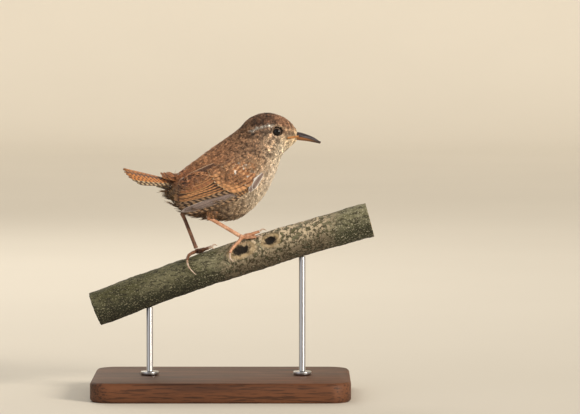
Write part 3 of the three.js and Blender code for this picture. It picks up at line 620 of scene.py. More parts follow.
def tract_values(points):
    """The blended colour, length, bars, streaks and looseness at side-view points, mm."""
    centres = np.array([tract[1:3] for tract in TRACTS])
    values = np.array([linear(tract[3])[:3] + tract[4:] for tract in TRACTS])
    # Colours meet more sharply on the head
    head = np.clip((points[:, 0] - 10) / 8, 0, 1) * np.clip((points[:, 1] - 106) / 8, 0, 1)
    reach = TRACT_REACH - 1.7 * head
    apart = ((points[:, None, :] - centres[None]) ** 2).sum(axis=2)
    nearest = apart.min(axis=1, keepdims=True)
    weight = np.exp(-(apart - nearest) / (2 * reach[:, None] ** 2))
    blend = (weight @ values) / weight.sum(axis=1, keepdims=True)
    colour = blend[:, :3]
    for line, width, code, strength in FACE_LINES:
        amount = strength * np.exp(-(near_line(points, line) / width) ** 2)[:, None]
        colour = colour * (1 - amount) + np.array(linear(code)[:3]) * amount
    return colour, *blend[:, 3:].T


def inside(points, outline):
    """Which side-view points lie in an outline."""
    x, z = points[:, 0], points[:, 1]
    found = np.zeros(len(points), dtype=bool)
    for (x1, z1), (x2, z2) in zip(outline, outline[1:] + outline[:1]):
        crosses = (z1 > z) != (z2 > z)
        found ^= crosses & (x < (x2 - x1) * (z - z1) / (z2 - z1 + 1e-12) + x1)
    return found


def strand_template():
    """One barb: a three-sided spike, ringed twice so that it can bend."""
    pick()
    bpy.ops.mesh.primitive_cone_add(vertices=3, radius1=1, radius2=0, depth=1, location=(0, 0, 0.5))
    spike = added("barb")
    with Editing():
        for height in (0.4, 0.75):
            bpy.ops.mesh.select_all(action="SELECT")
            bpy.ops.mesh.bisect(plane_co=(0, 0, height), plane_no=(0, 0, 1))
        bpy.ops.mesh.select_all(action="SELECT")
        bpy.ops.mesh.quads_convert_to_tris()
    return template(spike)


def shafts(surface, roots, heads, length, loose):
    """Three points along each soft feather's shaft, laid on a surface, in mm, and the surface's normals."""
    centre = np.zeros((len(roots), 3, 3))
    normal = np.zeros((len(roots), 3, 3))
    heads = heads / np.linalg.norm(heads, axis=1, keepdims=True)
    for i, root in enumerate(roots):
        found, up, _, _ = surface.find_nearest(Vector(root * MM))
        head = Vector(heads[i])
        yaw = rng.normal(0, 0.10 + 0.30 * loose[i])
        head = (head - up * head.dot(up)).normalized()
        head = (head * math.cos(yaw) + up.cross(head) * math.sin(yaw)).normalized()
        lift = rng.uniform(0.6, 1.3)
        rises = (-0.25, 0.35 * lift + 0.9 * loose[i] * lift, 0.5 * lift + 3.3 * loose[i] ** 1.8 * lift)
        for k, rise in enumerate(rises):
            if k:
                found, up, _, _ = surface.find_nearest(found + head * length[i] * 0.5 * MM)
                head = (head - up * head.dot(up)).normalized()
            centre[i, k] = np.array(found[:]) / MM + np.array(up[:]) * rise
            normal[i, k] = up[:]
    return centre, normal


def tufted(name, surface, roots, heads, values, maps, slot, strands, thickness, material):
    """Lays one soft feather at each root, a fan of barbs that follows the surface in its heading.

    roots and heads are arrays in mm, values is what tract_values gives, and maps is each root's place on the
    skin's own unwrap. Arrays below run over feathers, barbs and the points of a barb.
    """
    colour, length, bars, streaks, loose = values
    count = len(roots)
    length = length * (1 + rng.uniform(-1, 1, count) * (0.15 + 0.25 * loose))
    centre, normal = shafts(surface, roots, heads, length, loose)
    side = np.cross(normal[:, 1], centre[:, 2] - centre[:, 0])
    side /= np.linalg.norm(side, axis=1, keepdims=True)
    shape, faces = STRAND
    n = len(shape)
    tone = rng.uniform(0.74, 1.24, (count, 1, 1))
    phase = rng.uniform(0, 1, (count, 1, 1))
    length, bars, streaks, loose = (v[:, None, None] for v in (length, bars, streaks, loose))
    colour, across, up = (v[:, None, None, :] for v in (colour, side, normal[:, 1]))
    fan = np.linspace(-1, 1, strands)[None, :, None]
    up_along = shape[:, 2][None, None, :]
    start = 0.42 * np.abs(fan)
    end = 1.0 - 0.26 * fan ** 2 + rng.uniform(-0.07, 0.05, (count, strands, 1))
    t = start + up_along * (end - start)
    out = fan * np.sin(up_along * math.pi / 2) * 0.5 + rng.normal(0, 0.03, (count, strands, 1)) * up_along
    a, b, c = (centre[:, k][:, None, None, :] for k in range(3))
    t4 = t[..., None]
    line = (1 - t4) ** 2 * a + 2 * t4 * (1 - t4) * (2 * b - 0.5 * (a + c)) + t4 ** 2 * c
    curl = -0.12 * (out * 2) ** 2 * length
    # Loose feathers draw together into a point
    width = length * FEATHER_WIDTH * (1 - 0.75 * np.clip(loose * 1.4 - 0.2, 0, 1) * t)
    points = (line + across * (out * width + shape[:, 0] * thickness)[..., None]
              + up * (curl * 0.35 + shape[:, 1] * thickness)[..., None])
    # Bars cross the feather, a dark streak follows its shaft, and the very tip is paler
    wave = 0.5 + 0.5 * np.cos(2 * math.pi * (t * (1.2 + length / 3.2) + phase))
    dark = bars * np.clip(wave * 1.6 - 0.4, 0, 1)
    shaft = streaks * np.exp(-(fan / 0.42) ** 2) * np.clip(1.15 - 0.4 * t, 0, 1)
    shaft = shaft * (rng.uniform(0, 1, (count, 1, 1)) < 0.75)
    # Barbs darken towards the feather's root: partly its greyer base, partly painted shade where the feathers
    # overlap
    under = 0.62 + 0.38 * np.clip((t - 0.35) / 0.4, 0, 1)
    darken = (1 - 0.82 * np.clip(dark + shaft, 0, 1)) * under * (0.9 + 0.25 * fan ** 2)
    tip = np.clip((t4 - 0.82) / 0.18, 0, 1) * 0.3
    tints = np.ones((count, strands, n, 4))
    tints[..., :3] = colour * (tone * darken)[..., None] * (1 - tip) + np.minimum(colour * 1.55, 1) * tip
    faces = (faces[None] + (np.arange(count * strands) * n)[:, None, None]).reshape(-1, 3)
    piece = mesh_piece(name, points.reshape(-1, 3) * MM, faces)
    coloured(piece, "plumage", tints)
    flecks = np.ones((count, 4))
    flecks[:, 0] = (0.2 + 0.6 * bars + 0.7 * streaks).ravel()
    flecks[:, 1] = (0.35 + 0.65 * streaks).ravel()
    coloured(piece, "marks", np.repeat(np.clip(flecks, 0, 1), strands * n, axis=0))
    spots = maps[:, None, None, :] + 0.003 * np.stack([out + 0.5, t], axis=-1)
    mapped(piece, "OFBake", spots.reshape(-1, 2)[faces.ravel()])
    return handed(piece, material, slot)


def body_roots():
    """Rows of feather roots from the bill back to the vent, as station numbers and turns."""
    numbers, turns = [], []
    number = 8.95
    row = 0
    while number > 0.04:
        ring = on_body(np.full(48, number), np.linspace(0, 2 * math.pi, 48, endpoint=False))
        length = tract_values(ring[:, [0, 2]])[1]
        pace = 0.34 * np.median(length)
        around = np.linalg.norm(ring - np.roll(ring, 1, axis=0), axis=1).sum()
        count = max(8, int(around / pace))
        turn = (np.arange(count) + 0.5 * (row % 2) + rng.uniform(-0.25, 0.25, count)) * 2 * math.pi / count
        back = on_body([number - 0.1], [math.pi * 0.5])[0] - on_body([number], [math.pi * 0.5])[0]
        spread = 0.1 * pace / np.linalg.norm(back)
        numbers.append(number - spread * rng.uniform(-0.3, 0.3, count))
        turns.append(turn)
        number -= spread
        row += 1
    return np.concatenate(numbers), np.concatenate(turns)


# Vanes

def vane_template():
    """A flat slab of unit size, gridded so that it can be curved: x across, y along and z through it."""
    pick()
    bpy.ops.mesh.primitive_grid_add(x_subdivisions=6, y_subdivisions=14, size=2)
    return template(applied(added("vane"), "SOLIDIFY", thickness=1, offset=0))


# Outlines of a vane: place along it and width there, in shares.
LONG_VANE = np.array([(0, 0.45), (0.2, 0.8), (0.5, 1), (0.8, 0.97), (0.9, 0.83), (0.96, 0.58), (1, 0.12)])
SHORT_VANE = np.array([(0, 0.45), (0.3, 0.9), (0.6, 1), (0.8, 0.9), (0.92, 0.62), (1, 0.16)])


def vane_points(chart, outline, root, tip, bow, width, lifts, tilt, camber=0.22, thickness=0.2):
    """The points of one vane laid in a chart, mm."""
    shape, _ = VANE
    across, along, level = shape[:, 0], (shape[:, 1] + 1) / 2, shape[:, 2] * 2
    root, tip = np.array(root), np.array(tip)
    run = tip - root
    out_way = np.array([-run[1], run[0]]) / np.linalg.norm(run)
    out = across * width * np.interp(along, outline[:, 0], outline[:, 1]) / 2
    ragged = 0.018 * np.sin(across * 9 + rng.uniform(0, 6)) * np.clip((along - 0.8) / 0.2, 0, 1)
    worn = np.clip(along + ragged, 0, 1.02)
    place = root + worn[:, None] * run + (bow * 4 * along * (1 - along) + out)[:, None] * out_way
    lift = lifts[0] + (lifts[1] - lifts[0]) * along + out * tilt + camber * (1 - across ** 2)
    lift = lift + 0.05 * np.exp(-(across / 0.2) ** 2)
    return chart(place, lift, level * thickness / 2 * (1 - 0.4 * across ** 2))


def vanes(name, sets, material, slot, *replaced):
    """One piece from the points of several vanes, with each vane's own map."""
    shape, faces = VANE
    n = len(shape)
    faces = np.concatenate([faces + i * n for i in range(len(sets))])
    piece = mesh_piece(name, np.concatenate(sets) * MM, faces)
    mapped(piece, "vane", np.tile((shape[:, :2] + 1) / 2, (len(sets), 1))[faces.ravel()])
    own = np.ones((len(sets), 4))
    own[:, 0] = rng.uniform(0.78, 1.15, len(sets))
    own[:, 1] = rng.uniform(0, 1, len(sets))
    coloured(piece, "tone", np.repeat(own, n, axis=0))
    pick(piece)
    with Editing():
        bpy.ops.mesh.normals_make_consistent(inside=False)
    return handed(piece, material, slot, *replaced)


def wing_chart(sign):
    """The folded wing's lie: the flank, eased into a slope that carries the tips past it."""
    edge = WING_EDGE

    def out_at(x, z):
        hit = from_side(BODY, x, z, -1)[0]
        flank = -hit.y / MM + 0.3 if hit else 0.0
        share = (edge["wrist"] - x) / (edge["wrist"] - edge["end"])
        slope = edge["wrist_out"] + (edge["end_out"] - edge["wrist_out"]) * share
        return (flank + slope + math.sqrt((flank - slope) ** 2 + 0.6)) / 2

    def chart(place, lift, level):
        made = np.zeros((len(place), 3))
        for i, (x, z) in enumerate(place):
            up = Vector(((out_at(x - 0.6, z) - out_at(x + 0.6, z)) / 1.2, 1.0,
                         (out_at(x, z - 0.6) - out_at(x, z + 0.6)) / 1.2)).normalized()
            made[i] = Vector((x, out_at(x, z), z)) + up * (lift[i] + level[i])
        return made * (1, sign, 1)
    return chart


def tract_vanes(chart, tract):
    """The vanes of one tract of the wing, from its first feather to its last."""
    name, count, width, bow, tilt, roots, tips, root_lift, tip_lifts = tract
    outline = SHORT_VANE if name.endswith(("coverts", "alula")) else LONG_VANE
    roots, tips = np.array(roots), np.array(tips)
    made = []
    for i in range(count):
        u = i / max(count - 1, 1)
        tip = (1 - u) ** 2 * tips[0] + 2 * u * (1 - u) * tips[1] + u ** 2 * tips[2]
        tip = tip + rng.uniform(-0.4, 0.4, 2)
        root = roots[0] + (roots[1] - roots[0]) * u
        lifts = (root_lift, tip_lifts[0] + (tip_lifts[1] - tip_lifts[0]) * u)
        made.append(vane_points(chart, outline, root, tip, bow, width, lifts, tilt))
    return made


def tail_chart(start, rise, droop):
    """The tail's lie: back from its start at a rise, falling away to both sides."""
    c, s = math.cos(math.radians(rise)), math.sin(math.radians(rise))

    def chart(place, lift, level):
        height = lift + level - droop * np.sqrt(place[:, 1] ** 2 + 1)
        return np.stack([start[0] - place[:, 0] * c + height * s, place[:, 1],
                         start[1] + place[:, 0] * s + height * c], axis=1)
    return chart


def covert_vanes(start, rise, rows, across, length, width, spread, droop, level):
    """Rows of coverts over or under the tail's root."""
    chart = tail_chart(start, rise, droop)
    made = []
    for row in range(rows):
        for i in range(across):
            out = (-1 + 2 * i / (across - 1)) * (1 - 0.12 * row)
            root = (-1.5 + row * 2.0, out * spread * 0.8)
            tip = (length * (0.55 + 0.45 * (row + 1) / rows) - abs(out) * 1.6, out * spread * 1.15)
            lifts = (-level * 0.4, level * (0.95 - 0.25 * row + 0.12 * (i % 2)))
            made.append(vane_points(chart, SHORT_VANE, root, tip, 0, width, lifts, 0, camber=0.25 * level))
    return made


# Settings

class WrenPlumage(bpy.types.PropertyGroup):
    """Sizes of the coat."""
    depth: bpy.props.FloatProperty(
        name="Coat depth", description="How far the skin lies under the plumage's outline",
        default=0.0008, unit="LENGTH")
    barb: bpy.props.FloatProperty(
        name="Barb thickness", description="Thickness of one barb of a body feather",
        default=0.00016, unit="LENGTH")
    strands: bpy.props.IntProperty(
        name="Barbs", description="Barbs drawn in one body feather", default=9, min=3, max=15)


class WrenHorn(bpy.types.PropertyGroup):
    """Colours of the bill, claws and legs."""
    bill_upper: bpy.props.FloatVectorProperty(
        name="Upper bill", description="Colour of the upper bill", subtype="COLOR", size=4,
        default=linear("#2e2626"))
    bill_lower: bpy.props.FloatVectorProperty(
        name="Lower bill", description="Colour of the lower bill", subtype="COLOR", size=4,
        default=linear("#9c6e42"))
    leg_near: bpy.props.FloatVectorProperty(
        name="Right leg", description="Colour of the right leg's skin", subtype="COLOR", size=4,
        default=linear("#d8ab8c"))
    leg_far_shaded: bpy.props.FloatVectorProperty(
        # The left leg's darker colour is painted shade; the real left leg is coloured like the right
        name="Left leg", description="Colour of the left leg's skin", subtype="COLOR", size=4,
        default=linear("#8f6247"))
    claw: bpy.props.FloatVectorProperty(
        name="Claws", description="Colour of the claws", subtype="COLOR", size=4, default=linear("#d8c4b4"))


class WrenStand(bpy.types.PropertyGroup):
    """Finish of the display stand."""
    wood: bpy.props.FloatVectorProperty(
        name="Base", description="Colour of the stained base", subtype="COLOR", size=4,
        default=linear("#4a2c1b"))
    edge: bpy.props.FloatProperty(
        name="Base edge", description="Width of the base's eased edge", default=0.0009, unit="LENGTH")


class WrenStage(bpy.types.PropertyGroup):
    """Floor and camera."""
    floor: bpy.props.FloatVectorProperty(
        name="Floor", description="Colour of the floor", subtype="COLOR", size=4, default=linear("#d9d3c7"))
    distance: bpy.props.FloatProperty(
        name="Camera distance", description="From the bird to the camera", default=1.6, unit="LENGTH")
    width: bpy.props.FloatProperty(
        name="View width", description="Width of the view at the bird", default=0.264, unit="LENGTH")
    rise: bpy.props.FloatProperty(
        name="Camera rise", description="Angle of the camera over the level", default=math.radians(3.5),
        subtype="ANGLE")


# Operators

class WREN_OT_wings(bpy.types.Operator):
    """Lays both folded wings, feather by feather"""
    bl_idname = "wren.wings"
    bl_label = "Wings"

    def execute(self, context):
        chequers = "#3f2c20", "#cda882", "#4d3524", "#8a6a4c"
        finishes = {
            "primaries": vane_material("chequered_primary_vane", *chequers, 0.085, 0.9, 0.2, rim_from=0.97,
                                       inner="#2c1b10", soft=0.7),
            "slate_primary": vane_material("slate_primary_vane", "#94827b", "#7d6c66", "#e6d9ce", "#c4b4aa",
                                           0.1, 0.15, rim_from=0.84),
            "chequered_edge": vane_material("chequered_edge_vane", *chequers, 0.08, 0.7, rim_from=0.97,
                                            soft=0.8),
            "chequered_hem": vane_material("chequered_hem_vane", *chequers, 0.1, 0.85, rim_from=0.97,
                                           soft=0.8),
            # The secondaries' dark inner webs are partly their own dark webs, partly painted shade along the
            # overlapping feather edges
            "secondaries": vane_material("barred_secondary_vane", "#cf9460", "#54341f", "#dfae7c", "#c9966a",
                                         0.075, 0.45, rim_from=0.9, inner="#3f2616", outer_web=0.66),
            "tertials": vane_material("dark_centred_tertial", "#a97046", "#4a2e1b", "#d9a673", "#c9966a",
                                      0.09, 0.4, rim_from=0.8, inner="#5a3a25", outer_web=0.3),
            "primary_coverts": vane_material("dark_primary_covert", "#5a3f2c", "#c99a66", "#b98a5e",
                                             "#dcb98c", 0.16, 0.8, 0.2),
            "greater_coverts": vane_material("barred_greater_covert", "#d39c6a", "#6b4226", "#e2b586",
                                             "#f2d6b2", 0.22, 0.5, rim_from=0.84, inner="#8d5c38"),
            "median_coverts": vane_material("median_covert", "#d7a273", "#6e4629", "#e9c196", "#f6dfc2",
                                            0.35, 0.45, tip_from=0.88, tip_width=0.4, inner="#a06c45"),
            "alula": vane_material("white_edged_alula", "#8d7a72", "#6c5850", "#fffaf2", "#fff6ea", 0.5, 0.3,
                                   rim_from=0.5),
        }
        for side, sign in SIDES.items():
            chart = wing_chart(sign)
            for tract in WING_TRACTS:
                name = tract[0]
                replaced = (f"wing_{side}",) if name == "primaries" else ()
                WINGS.append(vanes(f"{name}_{side}", tract_vanes(chart, tract), finishes[name],
                                   "wing_feathers", *replaced))
        return {"FINISHED"}


class WREN_OT_tail(bpy.types.Operator):
    """Lays the twelve tail feathers and the coverts over and under them"""
    bl_idname = "wren.tail"
    bl_label = "Tail"

    def execute(self, context):
        tail = TAIL
        chart = tail_chart(tail["root"], tail["rise"], tail["droop"])
        made = []
        for i in range(tail["pairs"]):
            for sign in SIDES.values():
                share = i / (tail["pairs"] - 1)
                length = tail["length"] * (1 - tail["shortening"] * i * (0.4 + 0.16 * i))
                root = (1.5, tail["root_spread"] * (share + 0.1))
                tip = (length, 0.9 + (tail["tip_spread"] - 0.9) * share)
                lifts = (0.2 - 0.12 * i, 0.9 - tail["stack"] * i + 0.18 * sign)
                width = tail["width"] * (0.62 if i == 0 else 1)
                vane = vane_points(chart, LONG_VANE, root, tip, 0.25 * share, width, lifts, 0)
                made.append(vane * (1, sign, 1))
        rufous = "#c67a36", "#3a1e0d", "#dc9850", "#b8763e", 0.085
        centre = vane_material("rufous_centre_tail_vane", *rufous, 0.6, rim_from=0.8, tip_from=0.97)
        # The barred vanes' near black inner webs are partly their own dark webs, partly painted shade between
        # the stacked feathers
        barred = vane_material("barred_tail_vane", *rufous, 0.8, rim_from=0.9, tip_from=0.97,
                               inner="#24120a", outer_web=0.35)
        pale = vane_material("chequered_outer_tail_vane", "#442c1a", "#d8bf94", "#5a3e26", "#9a7448", 0.12,
                             tip_from=0.97, soft=0.7)
        upper = vane_material("rufous_tail_covert", "#c0763c", "#55301a", "#d6955a", "#cf8f58", 0.2, 0.6,
                              inner="#8a5228")
        under = vane_material("spotted_undertail_covert", "#5a4026", "#20140a", "#8d7048", "#dccba6", 0.24,
                              tip_from=0.84, tip_width=0.7)
        vanes("central_tail_feathers", made[:2], centre, "tail_feathers")
        vanes("tail_feathers", made[2:-4], barred, "tail_feathers", "tail")
        vanes("outer_tail_feathers", made[-4:], pale, "tail_feathers")
        COVERTS.append(vanes("upper_tail_coverts", covert_vanes(**UPPER_COVERTS), upper, "tail_feathers"))
        COVERTS.append(vanes("undertail_coverts", covert_vanes(**UNDER_COVERTS), under, "tail_feathers"))
        return {"FINISHED"}


class WREN_OT_skin(bpy.types.Operator):
    """Makes the skin that the small feathers grow from"""
    bl_idname = "wren.skin"
    bl_label = "Skin"

    def execute(self, context):
        skin = softened(copied("skin", "torso", "neck", "head"), "skin")
        applied(skin, "DISPLACE", strength=-context.scene.wren_plumage.depth, mid_level=0)
        points = points_of(skin) / MM
        colour = tract_values(points[:, [0, 2]])[0]
        coloured(skin, "plumage", np.c_[colour * 0.7, np.ones(len(colour))])
        mapped(skin, "OFBake", self.unwrapped(skin, points))
        handed(skin, plumage_material("down_and_skin"), "plumage", "torso", "neck", "head")
        SKIN.append(skin)
        return {"FINISHED"}

    def unwrapped(self, skin, points):
        """The skin's own unwrap, a place for each face corner: station number along, turn round the body."""
        along, around = 181, 120
        ring = np.linspace(0, 2 * math.pi, around, endpoint=False)
        numbers, turns = np.meshgrid(np.linspace(0, LAST_STATION, along), ring)
        grid = [Vector(point) for point in on_body(numbers.ravel(), turns.ravel())]
        rows = [(j * along, (j + 1) % around * along) for j in range(around)]
        cells = [(a + i, a + i + 1, b + i + 1, b + i) for a, b in rows for i in range(along - 1)]
        search = BVHTree.FromPolygons(grid, cells)
        places = np.zeros((len(points), 2))
        for i, point in enumerate(points):
            face = search.find_nearest(Vector(point))[2]
            places[i] = (face % (along - 1) + 0.5) / along, (face // (along - 1) + 0.5) / around
        corner = np.zeros(len(skin.data.loops), dtype=np.int32)
        skin.data.loops.foreach_get("vertex_index", corner)
        spots = places[corner]
        for face in skin.data.polygons:
            turn = spots[face.loop_start:face.loop_start + face.loop_total, 1]
            if turn.max() - turn.min() > 0.5:
                turn[turn > 0.5] -= 1
        return spots


class WREN_OT_coat(bpy.types.Operator):
    """Feathers the body, head, thighs and shoulders"""
    bl_idname = "wren.coat"
    bl_label = "Coat"

    def execute(self, context):
        settings = context.scene.wren_plumage
        coat = dict(strands=settings.strands, thickness=settings.barb / MM,
                    material=plumage_material("soft_body_plumage"))
        surface = self.draped()
        numbers, turns = body_roots()
        roots = on_body(numbers, turns)
        heads = on_body(np.maximum(numbers - 0.12, 0), turns) - roots
        heads[numbers < 0.3] = (-0.9, 0, 0.15)
        flat, out = roots[:, [0, 2]], np.abs(roots[:, 1])
        eye = (np.linalg.norm(flat - np.array(EYE_AT), axis=1) < EYE_SEEN + 0.35) & (out > 2)
        covered = inside(flat, WING_OUTLINE) & (out > 5)
        roots, heads, numbers, turns = (v[~eye & ~covered] for v in (roots, heads, numbers, turns))
        maps = np.stack([numbers / 9.05, (turns / (2 * math.pi)) % 1.0], axis=1)
        values = tract_values(roots[:, [0, 2]])
        # Roots beside the wing move out on to it, so that the back's feathers overlap its upper edge
        for i in np.flatnonzero(np.abs(roots[:, 1]) > 6):
            hit = from_side(surface, roots[i, 0], roots[i, 2], math.copysign(1, roots[i, 1]))[0]
            if hit and abs(hit.y) / MM > abs(roots[i, 1]) + 0.4:
                roots[i] = np.array(hit[:]) / MM
        is_head = numbers > HEAD_FROM
        for name, chosen, slot in (("head", is_head, "head_plumage"), ("body", ~is_head, "plumage")):
            picked = np.flatnonzero(chosen)
            parts = math.ceil(len(picked) * settings.strands * len(STRAND[1]) / PIECE_LIMIT)
            for k, part in enumerate(np.array_split(picked, parts)):
                tufted(f"{name}_feathers_{k + 1}", surface, roots[part], heads[part],
                       [v[part] for v in values], maps[part], slot, **coat)
        for side, sign in SIDES.items():
            self.wrist(side, sign, surface, coat)
        for side, sign in SIDES.items():
            self.shoulder(side, sign, surface, coat)
        for side in SIDES:
            self.thigh(side, coat)
        return {"FINISHED"}

    def draped(self):
        """The surface that the coat lies on: skin, wings and coverts with the hollows between them closed."""
        pick(SKIN[0], *[wing for wing in WINGS if not wing.name.startswith("alula")], *COVERTS)
        bpy.ops.object.duplicate()
        bpy.ops.object.join()
        cover = added("cover")
        for way in (1, -1):
            applied(cover, "REMESH", mode="VOXEL", voxel_size=DRAPE["voxel"] * MM, use_smooth_shade=True)
            applied(cover, "DISPLACE", strength=way * DRAPE["reach"] * MM, mid_level=0)
        applied(cover, "SMOOTH", iterations=DRAPE["turns"], factor=0.5)
        surface = tree_of(cover)
        bpy.ops.object.delete()
        return surface

    def wrist(self, side, sign, surface, coat):
        """The breast's side feathers, which reach out over the front edge of a folded wing."""
        plan = WRIST
        roots = []
        for z in np.arange(*plan["levels"], plan["spacing"]):
            for out in np.arange(*plan["outs"], plan["spacing"]):
                spot = Vector((30, sign * (out + rng.uniform(-0.3, 0.3)), z + rng.uniform(-0.3, 0.3))) * MM
                hit = surface.ray_cast(spot, Vector((-1, 0, 0)))[0]
                if hit and plan["ahead"][0] < hit.x / MM < plan["ahead"][1]:
                    roots.append(np.array(hit[:]) / MM)
        roots = np.array(roots)
        values = list(tract_values(roots[:, [0, 2]]))
        values[1] = np.full(len(roots), plan["length"])
        turn = 0.27 + 0.46 * (sign > 0) + roots[:, 1] * sign / 200
        maps = np.stack([0.6 + roots[:, 2] / 500, turn], axis=1)
        heads = np.tile((-0.75, sign * 0.6, -0.3), (len(roots), 1))
        tufted(f"wrist_feathers_{side}", surface, roots, heads, values, maps, "plumage", **coat)

    def shoulder(self, side, sign, surface, coat):
        """The lesser coverts, small scaly feathers over the front of a wing, some with white tips."""
        plan = LESSER_COVERTS
        (cx, cz), (rx, rz), gap = plan["centre"], plan["reach"], plan["spacing"]
        c, s = math.cos(math.radians(plan["turn"])), math.sin(math.radians(plan["turn"]))
        roots = []
        for row, a in enumerate(np.arange(-rx, rx, gap * 1.1)):
            for b in np.arange(-rz, rz, gap) + 0.5 * gap * (row % 2):
                x, z = cx + a * c - b * s, cz + a * s + b * c
                beside = near_line(np.array([(x, z)]), ALULA_LINE)[0] >= 1.3
                hit = from_side(surface, x, z, sign)[0]
                if beside and hit and (a / rx) ** 2 + (b / rz) ** 2 <= 1:
                    roots.append(np.array(hit[:]) / MM)
        roots = np.array(roots)
        n = len(roots)
        roots[:, [0, 2]] += rng.uniform(-0.2, 0.2, (n, 2))
        colour = np.tile(linear("#dba476")[:3], (n, 1)) * rng.uniform(0.8, 1.2, (n, 1))
        apart = roots[:, None, [0, 2]] - np.array(WHITE_SPOTS) - (0.9, 0.6)
        white = np.linalg.norm(apart, axis=2).min(axis=1) < 0.75
        colour[white] = linear("#fffaf4")[:3]
        values = [colour, np.full(n, plan["length"]), np.where(white, 0, 0.55), np.zeros(n), np.full(n, 0.05)]
        turn = 0.25 + 0.5 * (sign > 0) + (roots[:, 2] - 104) / 200
        maps = np.stack([0.3 + (roots[:, 0] + 5) / 100, turn], axis=1)
        heads = np.tile((-math.cos(0.6), 0, -math.sin(0.6)), (n, 1))
        tufted(f"lesser_coverts_{side}", surface, roots, heads, values, maps, "wing_feathers", **coat)

    def thigh(self, side, coat):
        """The short feathers of a thigh, down to the heel; the far one lies in shade."""
        skin_tone, low_tone, place = THIGHS[side]
        skin = softened(copied(f"thigh_skin_{side}", f"thigh_{side}"), "thigh")
        points = points_of(skin) / MM
        coloured(skin, "plumage", np.tile(linear(skin_tone), (len(points), 1)))
        handed(skin, coat["material"], "plumage", f"thigh_{side}")
        middle = points.mean(axis=0)
        axis = np.linalg.svd(points - middle)[2][0]
        axis = axis if axis[2] < 0 else -axis
        reach = (points - middle) @ axis
        roots = points[rng.permutation(len(points))[:THIGH_FEATHERS]]
        share = ((roots - middle) @ axis - reach.min()) / (reach.max() - reach.min())
        roots, share = roots[share < 0.95], share[share < 0.95]
        n = len(roots)
        high, low = (np.array(linear(code)[:3]) for code in ("#8a6440", low_tone))
        warm = np.clip(share * 2 - 0.3, 0, 1)[:, None]
        values = [(high * (1 - warm) + low * warm) * rng.uniform(0.7, 1.2, (n, 1)), np.full(n, 2.2),
                  np.full(n, 0.4), np.zeros(n), np.full(n, 0.15)]
        maps = np.stack([0.25 + 0.1 * rng.uniform(0, 1, n), np.full(n, place)], axis=1)
        tufted(f"thigh_feathers_{side}", tree_of(skin), roots, np.tile(axis, (n, 1)), values, maps, "plumage",
               **coat)


class WREN_OT_face(bpy.types.Operator):
    """Makes the eyes with their lids, and the bill"""
    bl_idname = "wren.face"
    bl_label = "Face"

    def execute(self, context):
        horn = context.scene.wren_horn
        graph = Graph("wet_dark_eye", 0.05, IOR=1.376, Specular_IOR_Level=0.5)
        wet = graph.done(graph.mix(graph.noise(1.5), "#050302", "#0d0805"))
        rim = horn_material("brown_eyelid_skin", "#4a382b", "#7a6552", 0.6)
        for side, sign in SIDES.items():
            self.eye(side, sign, wet, rim)
        upper = self.rooted(copied("upper_bill", "bill_upper"))
        lower = self.rooted(copied("lower_bill", "bill_lower"))
        gape = softened(copied("gape", "head"), "gape")
        with Editing():
            for at, way in GAPE_PLANES:
                bpy.ops.mesh.select_all(action="SELECT")
                bpy.ops.mesh.bisect(plane_co=at, plane_no=way, clear_outer=True, use_fill=True)
        dark = horn_material("dark_horn", tuple(horn.bill_upper), "#453c40", 0.42)
        pale = horn_material("orange_brown_horn", tuple(horn.bill_lower), "#86552c", 0.45, "#3f2c22")
        handed(upper, dark, "bill_dark", "bill_upper")
        handed(lower, pale, "bill_pale", "bill_lower")
        handed(gape, horn_material("gape_skin", "#b27c48", "#8f5c34", 0.6), "head_plumage")
        return {"FINISHED"}

    def eye(self, side, sign, wet, rim):
        """One eye's ball, and its lid as a thin ring where the ball leaves the head."""
        low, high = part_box(f"eye_{side}")
        centre = [(a + b) / 2 for a, b in zip(low, high)]
        radius = (high[2] - low[2]) / 2
        pick()
        bpy.ops.mesh.primitive_uv_sphere_add(segments=48, ring_count=32, radius=radius, location=centre,
                                             rotation=(math.pi / 2, 0, 0))
        ball = added(f"eye_ball_{side}")
        with Editing():
            bpy.ops.transform.resize(value=(1.0, 1.02, 0.98), center_override=centre)
        bpy.ops.object.shade_smooth()
        handed(ball, wet, "eye", f"eye_{side}")
        out = from_side(BODY, *EYE_AT, sign)[1]
        if out.y * sign < 0:
            out.negate()
        place = Vector(centre) + out * math.sqrt(max(radius ** 2 - (EYE_SEEN * MM) ** 2, 0))
        pick()
        bpy.ops.mesh.primitive_torus_add(major_segments=48, minor_segments=12, location=place,
                                         rotation=out.to_track_quat("Z", "Y").to_euler(), **LID)
        lid = added(f"eyelid_{side}")
        bpy.ops.object.shade_smooth()
        handed(lid, rim, "head_plumage")

    def rooted(self, piece):
        """Carries a half of the bill back into the feathers and closes it against the other half."""
        with Editing(chosen=np.flatnonzero(points_of(piece)[:, 0] < BILL_ROOT["behind"])):
            bpy.ops.transform.translate(value=BILL_ROOT["push"])
        softened(piece, "bill")
        return applied(piece, "DISPLACE", strength=BILL_ROOT["swell"], mid_level=0)


class WREN_OT_legs(bpy.types.Operator):
    """Makes the shanks, feet and claws"""
    bl_idname = "wren.legs"
    bl_label = "Legs"

    def execute(self, context):
        horn = context.scene.wren_horn
        claw = horn_material("pale_claw_horn", tuple(horn.claw), "#a88a74", 0.35)
        skins = {
            "right": skin_material("sunlit_scaled_leg", tuple(horn.leg_near), "#b07a58", 1.3),
            # The left leg gets darker copies of the colours, painted shade
            "left": skin_material("shaded_scaled_leg", tuple(horn.leg_far_shaded), "#5a3826", 1.3),
        }
        for side in SIDES:
            for part in ("shank", "foot"):
                piece = softened(copied(f"{part}_skin_{side}", f"{part}_{side}"), "leg")
                handed(piece, skins[side], "leg_skin", f"{part}_{side}")
            for toe in TOES:
                piece = softened(copied(f"claw_horn_{side}_{toe}", f"claw_{side}_{toe}"), "claw")
                handed(piece, claw, "claw", f"claw_{side}_{toe}")
        return {"FINISHED"}


